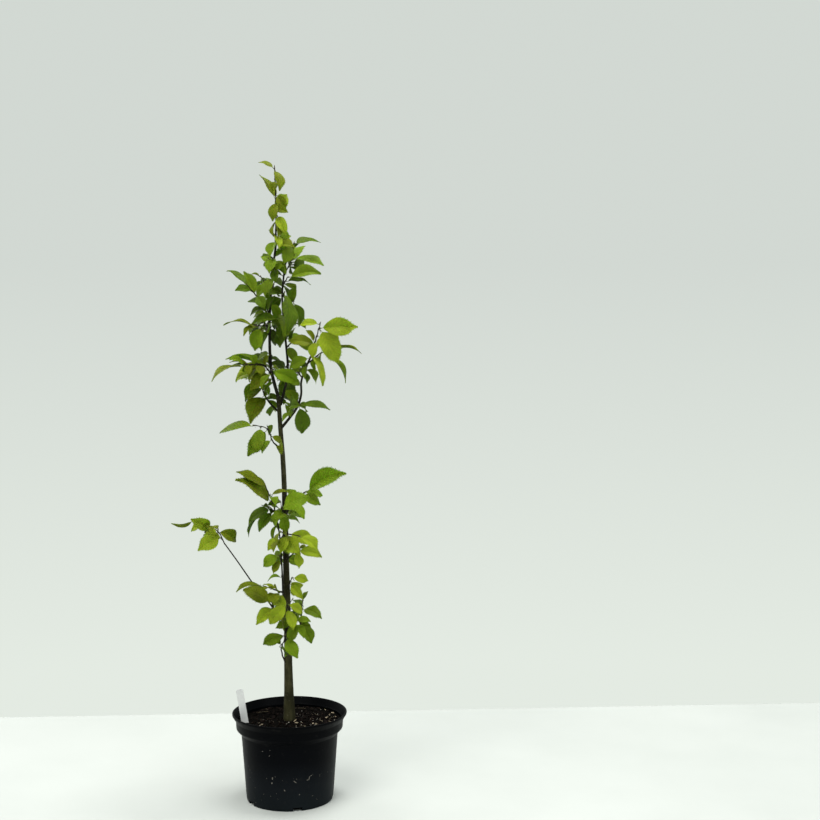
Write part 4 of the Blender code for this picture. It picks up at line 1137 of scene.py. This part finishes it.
def turned_rings(profile, sides):
    """Rings of corners of a profile turned round the Z axis."""
    angles = np.arange(sides) / sides * math.tau
    ring = np.stack([np.cos(angles), np.sin(angles), np.ones(sides)], axis=1)
    return np.array([ring * (radius, radius, height) for radius, height in profile])


def make_pot(coat):
    """The pot: a turned shell with soft edges, a recessed base and drain slots at its foot."""
    inner_top = POT_COLLAR_TOP_RADIUS - POT_WALL
    outline = [
        (CAP_RADIUS, BASE_RECESS), (BASE_RECESS_RADIUS, BASE_RECESS), (BASE_RECESS_RADIUS + 2, 0.0),
        (POT_FOOT_RADIUS, 0.0), (POT_BODY_FOOT_RADIUS, POT_FOOT_BEVEL),
        (POT_SHOULDER_RADIUS, POT_SHOULDER_HEIGHT), (POT_COLLAR_RADIUS, POT_COLLAR_HEIGHT),
        (POT_COLLAR_TOP_RADIUS, POT_COLLAR_TOP_HEIGHT),
        (POT_LIP_RADIUS, POT_HEIGHT - POT_LIP_DROP), (POT_LIP_RADIUS, POT_HEIGHT),
        (POT_LIP_RADIUS - POT_LIP_WALL, POT_HEIGHT),
        (inner_top, POT_COLLAR_TOP_HEIGHT + POT_LEDGE_TOP),
        (inner_top - POT_LEDGE_WIDTH, POT_COLLAR_TOP_HEIGHT + POT_LEDGE_FOOT),
        (POT_COLLAR_RADIUS - POT_WALL - POT_COLLAR_INSET, POT_COLLAR_HEIGHT),
        (POT_SHOULDER_RADIUS - POT_WALL, POT_SHOULDER_HEIGHT),
        (pot_inner_radius(POT_FLOOR), POT_FLOOR), (CAP_RADIUS, POT_FLOOR),
    ]
    rings = turned_rings(rounded(outline, POT_ROUNDING), POT_FINE_SIDES)
    pile = Pile()
    pile.add(*capped(rings, (0, 0, BASE_RECESS), (0, 0, POT_FLOOR)))
    pot = pile.piece("pot_shell", coat, "pot", sharp=40, nodes=("pot",))
    for number in range(DRAIN_SLOTS):
        angle = math.radians(DRAIN_FIRST_ANGLE + 360 / DRAIN_SLOTS * number - 90)
        bpy.ops.mesh.primitive_cube_add(size=MM)
        slot = bpy.context.object
        slot.scale = (2 * DRAIN_DEPTH, DRAIN_WIDTH, 2 * DRAIN_HEIGHT)
        slot.location = Vector((math.cos(angle), math.sin(angle), 0)) * POT_BODY_FOOT_RADIUS * MM
        slot.rotation_euler = (0, 0, angle)
        bpy.context.view_layer.update()
        hole = pot.modifiers.new("drain", "BOOLEAN")
        hole.operation = "DIFFERENCE"
        hole.object = slot
        hole.solver = "EXACT"
        evaluated = pot.evaluated_get(bpy.context.evaluated_depsgraph_get())
        mesh = bpy.data.meshes.new_from_object(evaluated)
        pot.modifiers.clear()
        pot.data = mesh
        bpy.data.objects.remove(slot)


def add_flake(pile, centre, normal, turn, length, width, thickness, chance):
    """Add an angular flake that lies across a normal."""
    normal = Vector(normal).normalized()
    long = turned_round(normal, turn)
    wide = np.array(normal.cross(long))
    long, normal, centre = np.array(long), np.array(normal), np.array(centre)
    sides = chance.choice(FLAKE_SIDES)
    shape = [(math.tau * side / sides, chance.uniform(*FLAKE_REACH)) for side in range(sides)]
    rings = np.array([[centre + normal * thickness * (rise + chance.uniform(*FLAKE_UNEVEN))
                       + long * math.cos(angle) * reach * size * length / 2
                       + wide * math.sin(angle) * reach * size * width / 2
                       for angle, reach in shape] for rise, size in FLAKE_LAYERS])
    pile.add(*capped(rings, rings[0].mean(0), rings[-1].mean(0)))


def soil_surface(x, y):
    """Height of the finished soil, with its crumbs, at a place in the pot."""
    share = math.hypot(x, y) / (pot_inner_radius(SOIL_TOP) - 2 * GAP)
    coarse, middling, fine = [high * noise.noise(Vector((x / wide, y / wide, layer)))
                              for wide, high, layer in CRUMBS]
    crumbs = abs(coarse) + middling + fine
    return soil_height(x, y, min(share, 1.0)) + crumbs * min(1.0, 0.4 + share)


def make_soil(coat):
    """The soil, closed below, with a crumbly top."""
    low = POT_FLOOR + GAP
    edge = pot_inner_radius(SOIL_TOP) - 2 * GAP
    profile = [(CAP_RADIUS, low), (pot_inner_radius(low) - 2 * GAP - SOIL_FOOT_INSET, low),
               (pot_inner_radius(POT_SHOULDER_HEIGHT) - 2 * GAP, POT_SHOULDER_HEIGHT)]
    profile += [(edge * (1 - step / SOIL_FINE_RINGS), SOIL_TOP) for step in range(SOIL_FINE_RINGS)]
    rings = turned_rings(profile, SOIL_FINE_SIDES)
    for ring in rings[3:]:
        for corner in ring:
            corner[2] = soil_surface(corner[0], corner[1])
    pile = Pile()
    pile.add(*capped(rings, (0, 0, low), (0, 0, soil_surface(0, 0))))
    pile.piece("soil_bed", coat, "soil", sharp=70, nodes=("soil",))


def scatter(chance, least, most):
    """A seeded place on the soil between two radii, and its height."""
    radius = math.sqrt(chance.uniform(least ** 2, most ** 2))
    angle = chance.uniform(0, math.tau)
    x, y = radius * math.cos(angle), radius * math.sin(angle)
    return x, y, soil_surface(x, y)


def strew(name, coat, seed, count, lengths, widths, heights, lift):
    """Flakes strewn over the soil, in one piece."""
    chance = random.Random(seed)
    pile = Pile()
    for _ in range(count):
        x, y, z = scatter(chance, LITTER_START, LITTER_RADIUS)
        if name in RIGHT_HAND and x - y < chance.uniform(*RIGHT_HAND_BLEND):
            continue
        length = chance.uniform(*lengths)
        normal = (chance.uniform(*LITTER_TILT), chance.uniform(*LITTER_TILT), 1)
        add_flake(pile, (x, y, z + lift * length), normal, chance.uniform(0, math.tau), length,
                  length * chance.uniform(*widths), length * chance.uniform(*heights), chance)
    pile.piece(name, coat, "soil", sharp=30)


def make_straws(coat):
    """Thin bent stalks that lie on the soil, in one piece."""
    chance = random.Random(15)
    pile = Pile()
    for _ in range(STRAWS):
        x, y, z = scatter(chance, *STRAW_PLACES)
        length, turn = chance.uniform(*STRAW_LENGTHS), chance.uniform(0, math.tau)
        bow, rise = chance.uniform(*STRAW_BOWS), chance.uniform(*STRAW_RISES)
        share = np.linspace(-0.5, 0.5, STRAW_STEPS + 1)
        side = bow * (1 - 4 * share ** 2)
        points = np.stack([x + length * (math.cos(turn) * share - math.sin(turn) * side),
                           y + length * (math.sin(turn) * share + math.cos(turn) * side),
                           z + STRAW_LIFT + length * rise * (share + 0.5)], axis=1)
        if np.hypot(points[:, 0], points[:, 1]).max() < LITTER_RADIUS:
            radii = STRAW_DIAMETER / 2 * (1 - 0.5 * abs(share))
            pile.add(*sweep(points, radii, STRAW_SIDES))
    pile.piece("straws", coat, "soil")


def make_flecks(coat):
    """Flecks of dried soil that cling to the pot's side."""
    chance = random.Random(5)
    pile = Pile()
    marks = list(POT_FLECKS)
    for _ in range(SMALL_FLECKS):
        marks.append((chance.uniform(-180, 180), chance.uniform(*SMALL_FLECK_HEIGHTS),
                      chance.uniform(*SMALL_FLECK_LENGTHS), SMALL_FLECK_SHARE, chance.uniform(-90, 90)))
    for side, height, length, share, turn in marks:
        angle = math.radians(side - 90)
        radius = pot_inner_radius(height) + POT_WALL + FLECK_LIFT
        normal = (math.cos(angle), math.sin(angle), POT_SLOPE)
        add_flake(pile, (radius * normal[0], radius * normal[1], height), normal, math.radians(turn),
                  length, length * share, FLECK_THICKNESS, chance)
    pile.piece("dried_soil_flecks", coat, "soil", sharp=30)


def make_label(coat):
    """The blank label: a thin strip with rounded corners and a slight bend."""
    height = np.linspace(0, LABEL_LENGTH, LABEL_ROWS)[:, None]
    across = np.linspace(-1, 1, LABEL_COLUMNS)
    half = LABEL_WIDTH / 2 * np.minimum(1.0, LABEL_TIP_SHARE + height / LABEL_POINT)
    past = np.maximum(LABEL_CORNER - (LABEL_LENGTH - height), 0.0)
    half -= LABEL_CORNER - np.sqrt(LABEL_CORNER ** 2 - past ** 2)
    bend = LABEL_BEND * (height / LABEL_LENGTH) ** 2 + LABEL_CUP * across ** 2
    sheet = np.stack([half * across, bend, np.broadcast_to(height, bend.shape)], axis=2)
    thin = np.array([0, LABEL_THICKNESS / 2, 0])
    lean = math.radians(LABEL_LEAN)
    foot = np.array([LABEL_FOOT[0], LABEL_FOOT[1], SOIL_TOP])
    foot -= np.array([math.sin(lean), 0, math.cos(lean)]) * LABEL_SUNK
    corners, quads = slab(sheet + thin, sheet - thin)
    pile = Pile()
    pile.add(corners @ np.array(Matrix.Rotation(lean, 3, "Y")).T + foot, quads)
    pile.piece("label_tag", coat, "label", nodes=("label",))


def feed(made, node, sockets):
    """Give each named socket of a node its value, or the output that feeds it."""
    for name, value in sockets.items():
        if isinstance(value, bpy.types.NodeSocket):
            made.node_tree.links.new(value, node.inputs[name])
        else:
            node.inputs[name].default_value = value


def add_node(made, kind, sockets=None):
    """A new shader node with what its sockets get."""
    node = made.node_tree.nodes.new("ShaderNode" + kind)
    feed(made, node, sockets or {})
    return node


def finish_with(made, sockets):
    """Give the sockets of a material's surface their values or outputs."""
    feed(made, made.node_tree.nodes["Principled BSDF"], sockets)


def paint(name, colour, roughness, specular):
    """A material with plain values, which the nodes added later vary."""
    made = bpy.data.materials.new(name)
    made.use_nodes = True
    finish_with(made, {"Base Color": (*colour, 1.0), "Roughness": roughness,
                       "Specular IOR Level": specular})
    return made


def pattern(made, scale, stretch=(1, 1, 1), detail=4.0, roughness=0.6):
    """A noise over the object's own coordinates."""
    spot = add_node(made, "TexCoord")
    fit = add_node(made, "Mapping", {"Vector": spot.outputs["Object"], "Scale": stretch})
    sockets = {"Vector": fit.outputs["Vector"], "Scale": scale, "Detail": detail, "Roughness": roughness}
    return add_node(made, "TexNoise", sockets).outputs["Fac"]


def height_share(made, space, low, high):
    """How far up a place lies between two heights."""
    spot = add_node(made, "TexCoord")
    split = add_node(made, "SeparateXYZ", {"Vector": spot.outputs[space]})
    sockets = {"Value": split.outputs["Z"], "From Min": low, "From Max": high}
    return add_node(made, "MapRange", sockets).outputs["Result"]


def ramp(made, factor, stops):
    """Colours by a factor."""
    node = add_node(made, "ValToRGB", {"Fac": factor})
    while len(node.color_ramp.elements) < len(stops):
        node.color_ramp.elements.new(0.5)
    for element, (position, colour) in zip(node.color_ramp.elements, stops):
        element.position = position
        element.color = (*colour, 1.0)
    return node.outputs["Color"]


def greys(made, factor, *stops):
    """Greys by a factor."""
    return ramp(made, factor, [(position, (grey, grey, grey)) for position, grey in stops])


def mixed(made, first, second, share, blend="MIX"):
    """Two colours mixed by a share."""
    node = add_node(made, "Mix")
    node.data_type = "RGBA"
    node.blend_type = blend
    feed(made, node, {"A": first, "B": second, "Factor": share})
    return node.outputs["Result"]


def rough_by(made, factor, low, high):
    """Roughness between two values by a factor."""
    node = add_node(made, "MapRange", {"Value": factor, "To Min": low, "To Max": high})
    finish_with(made, {"Roughness": node.outputs["Result"]})


def bump(made, height, strength, distance):
    """Bump from a height output; the distance is in millimetres."""
    node = add_node(made, "Bump", {"Strength": strength, "Distance": distance * MM, "Height": height})
    finish_with(made, {"Normal": node.outputs["Normal"]})


def leaf_paint(tone):
    """A leaf's satin surface with slight mottling in its tone."""
    colour = np.array(TONE_COLOURS[tone])
    made = paint("leaf_" + tone, colour, 0.5, 0.06)
    stops = [(place_at, colour * factor) for place_at, factor in LEAF_MOTTLE]
    finish_with(made, {"Subsurface Weight": 0.3, "Subsurface Radius": (0.6, 1.0, 0.15),
                       "Subsurface Scale": MM,
                       "Base Color": ramp(made, pattern(made, 70, detail=3), stops)})
    grain = pattern(made, 900, detail=2)
    rough_by(made, grain, 0.44, 0.58)
    bump(made, grain, 0.25, 0.12)
    return made


def bark_paint(name):
    """Bark: blotches, streaks along the limb and a fine grain."""
    stops, streaks, scale = BARKS[name]
    made = paint(name, stops[0][1], 0.8, 0.14)
    blotches = ramp(made, pattern(made, 55, (1, 1, 0.45)), stops)
    lines = ramp(made, pattern(made, scale, (1, 1, 0.14), detail=6), streaks)
    finish_with(made, {"Base Color": mixed(made, blotches, lines, 1.0, "MULTIPLY")})
    grain = pattern(made, 1100, (1, 1, 0.3), detail=5)
    rough_by(made, grain, 0.68, 0.9)
    bump(made, grain, 0.5, 0.35)
    return made


def pot_paint():
    """Black moulded plastic with fine scratches, paler towards its foot: partly dust, partly a painted
    sheen of the bright floor and painted light in the shade at the foot.
    """
    made = paint("pot_plastic", POT_SHEEN_AND_DUST[-1][1], 0.45, 0.035)
    # painted sheen of the bright floor and painted light in the shade at the foot, together with dust, by
    # height
    sheen_and_dust = ramp(made, height_share(made, "Object", 0.0, POT_HEIGHT * MM), POT_SHEEN_AND_DUST)
    cloudy = greys(made, pattern(made, 18), (0.3, 0.75), (0.75, 1.0))
    dust = greys(made, pattern(made, 90, detail=7), (0.62, 0.0), (0.86, 0.4))
    plain = mixed(made, sheen_and_dust, cloudy, 1.0, "MULTIPLY")
    finish_with(made, {"Base Color": mixed(made, plain, (*POT_DUST, 1.0), dust)})
    wear = pattern(made, 140, (1, 1, 0.5), detail=6)
    rough_by(made, wear, 0.34, 0.54)
    bump(made, wear, 0.12, 0.3)
    return made


def soil_paint():
    """Damp dark soil with lighter and redder crumbs."""
    made = paint("soil_crumbs", SOIL_TONES[-1][1], 0.95, 0.03)
    crumbs = pattern(made, 420, detail=6, roughness=0.75)
    finish_with(made, {"Base Color": ramp(made, crumbs, SOIL_TONES)})
    bump(made, pattern(made, 900, detail=5), 0.8, 0.8)
    return made


def plain_paint(name):
    """A material that varies between two colours, with a fine bump."""
    dark, light, roughness, scale, specular = PAINTS[name]
    made = paint(name, light, roughness, specular)
    mottle = pattern(made, scale)
    finish_with(made, {"Base Color": ramp(made, mottle, [(0.34, dark), (0.68, light)])})
    rough_by(made, mottle, roughness - 0.06, roughness + 0.06)
    bump(made, pattern(made, 1200, detail=3), 0.3, 0.2)
    return made


def set_stage():
    """The camera of the front view, the floor, the backdrop's grey and soft lights."""
    scene = bpy.context.scene
    lens = bpy.data.cameras.new("front_view")
    lens.lens = CAMERA_LENS
    lens.sensor_width = CAMERA_SENSOR
    lens.sensor_fit = "HORIZONTAL"
    lens.clip_start = 0.05
    camera = add_object("front_view", lens)
    camera.location = EYE * MM
    camera.rotation_euler = (math.radians(90 + CAMERA_PITCH), 0, 0)
    scene.camera = camera
    mesh = bpy.data.meshes.new("floor")
    mesh.from_pydata(FLOOR_CORNERS, [], [(0, 1, 2, 3)])
    mesh.materials.append(plain_paint("floor"))
    add_object("floor", mesh)
    world = bpy.data.worlds.new("backdrop")
    world.use_nodes = True
    grey = ramp(world, height_share(world, "Generated", -1.0, 1.0),
                [((rise + 1) / 2, colour) for rise, colour in BACKDROP])
    feed(world, world.node_tree.nodes["Background"], {"Color": grey})
    scene.world = world
    scene.view_settings.view_transform = "Standard"
    for name, (at, size, power, colour) in LIGHTS.items():
        lamp = bpy.data.lights.new(name, "AREA")
        lamp.shape = "DISK"
        lamp.size = size
        lamp.energy = power
        lamp.color = colour
        made = add_object(name, lamp)
        made.location = at
        made.rotation_euler = (LIGHTS_AIM - Vector(at)).to_track_quat("-Z", "Y").to_euler()


def dress_crown(limbs, stems, leaves, taken):
    """Leaves by tone, ribs, twigs, buds and stipules, which together replace the masses."""
    ribs, twigs, buds, scales = Pile(), Pile(), Pile(), Pile()
    tones = list(TONE_COLOURS)
    blades = {tone: Pile() for tone in tones}
    own_tones = {name: tone for tone, names in SPRIG_TONES.items() for name in names}
    for name, stem in {**stems, **limbs}.items():
        # the sprig's tone, which holds painted light and painted shade besides the leaves' own colour
        tone = tones.index(own_tones.get(name, "mid"))
        grown = fine_twigs(name, stem, taken) if name in stems else []
        more = place_leaves(name, stem, MORE_LEAVES.get(name, ()), taken)
        chance = random.Random(name + "_detail")
        for group, (twig, own) in enumerate([(stem, leaves.get(name, []) + more)] + grown):
            if name in stems:
                add_twig(twigs, twig, own, "%s_%d" % (name, group))
            for number, leaf in enumerate(own):
                form = SimpleNamespace(**{part: chance.uniform(*ends) for part, ends in FORM.items()})
                step = FINE_TONE_STEP if group else chance.choice(TONE_STEPS)
                own_tone = tones[min(max(tone + step, 0), len(tones) - 1)]
                add_leaf(blades[own_tone], leaf, form, "%s_%d_%d" % (name, group, number))
                add_rib(ribs, leaf, form)
                direction = nearest_direction(twig, leaf.root)
                side = square_to(direction, leaf.foot - leaf.root)
                base = np.array(leaf.root + side * NODE_RADIUS)
                lean = np.array(direction * BUD_LEAN[0] + side * BUD_LEAN[1])
                size = FINE_BUD_SIZE if group else 1.0
                add_bud(buds, base, lean, chance.uniform(*BUD_LENGTHS) * size)
                if chance.random() < STIPULE_CHANCE:
                    add_stipule(scales, base, np.array(side) * 0.6 - lean * 0.4,
                                chance.uniform(*STIPULE_LENGTHS), chance)
            if name in stems:
                add_bud(buds, np.array(twig.axis[-1]), np.array(twig.direction(len(twig.axis) - 1)),
                        FINE_TIP_BUD_LENGTH if group else TIP_BUD_LENGTH)
    twigs.piece("twigs", bark_paint("bark_twig"), "bark", nodes=tuple(stems))
    buds.piece("buds", plain_paint("bud_brown"), "bark")
    scales.piece("stipules", plain_paint("stipule_brown"), "leaf")
    ribs.piece("leaf_ribs", plain_paint("rib_green"), "leaf")
    for tone, pile in blades.items():
        pile.piece("leaves_" + tone, leaf_paint(tone), "leaf")


def dress_limbs(limbs, stems, sprigs):
    """Bark over every limb, with collars where others grow from it, and lenticels."""
    old, young = bark_paint("bark_old"), bark_paint("bark_young")
    rows = [(row, limbs[child]) for child, row in LIMBS.items()]
    rows += [(row, stems[child]) for child, row in sprigs.items()]
    pores = Pile()
    for name, limb in limbs.items():
        feet = [(grown.axis[0], grown.radii[0]) for (parent, height, *_), grown in rows
                if parent == name and height != TIP]
        pile = Pile()
        pile.add(*bark_skin(name, limb, feet))
        pile.piece(name + "_bark", old if name == "trunk" else young, "bark", nodes=(name,))
        add_lenticels(pores, name, limb, LENTICELS.get(name, FEW_LENTICELS))
    pores.piece("lenticels", plain_paint("lenticel_pale"), "bark")


def dress_pot():
    """The pot, its soil with what lies on it, and the label."""
    make_pot(pot_paint())
    make_soil(soil_paint())
    make_label(plain_paint("label_white"))
    for name, row in LITTER.items():
        strew(name, plain_paint(name), *row)
    make_straws(plain_paint("straw"))
    make_flecks(plain_paint("dried_soil"))


def main():
    """Dress the whole plant and its pot."""
    set_stage()
    limbs, stems, leaves, taken, sprigs = lay_out()
    dress_limbs(limbs, stems, sprigs)
    dress_crown(limbs, stems, leaves, taken)
    dress_pot()


main()
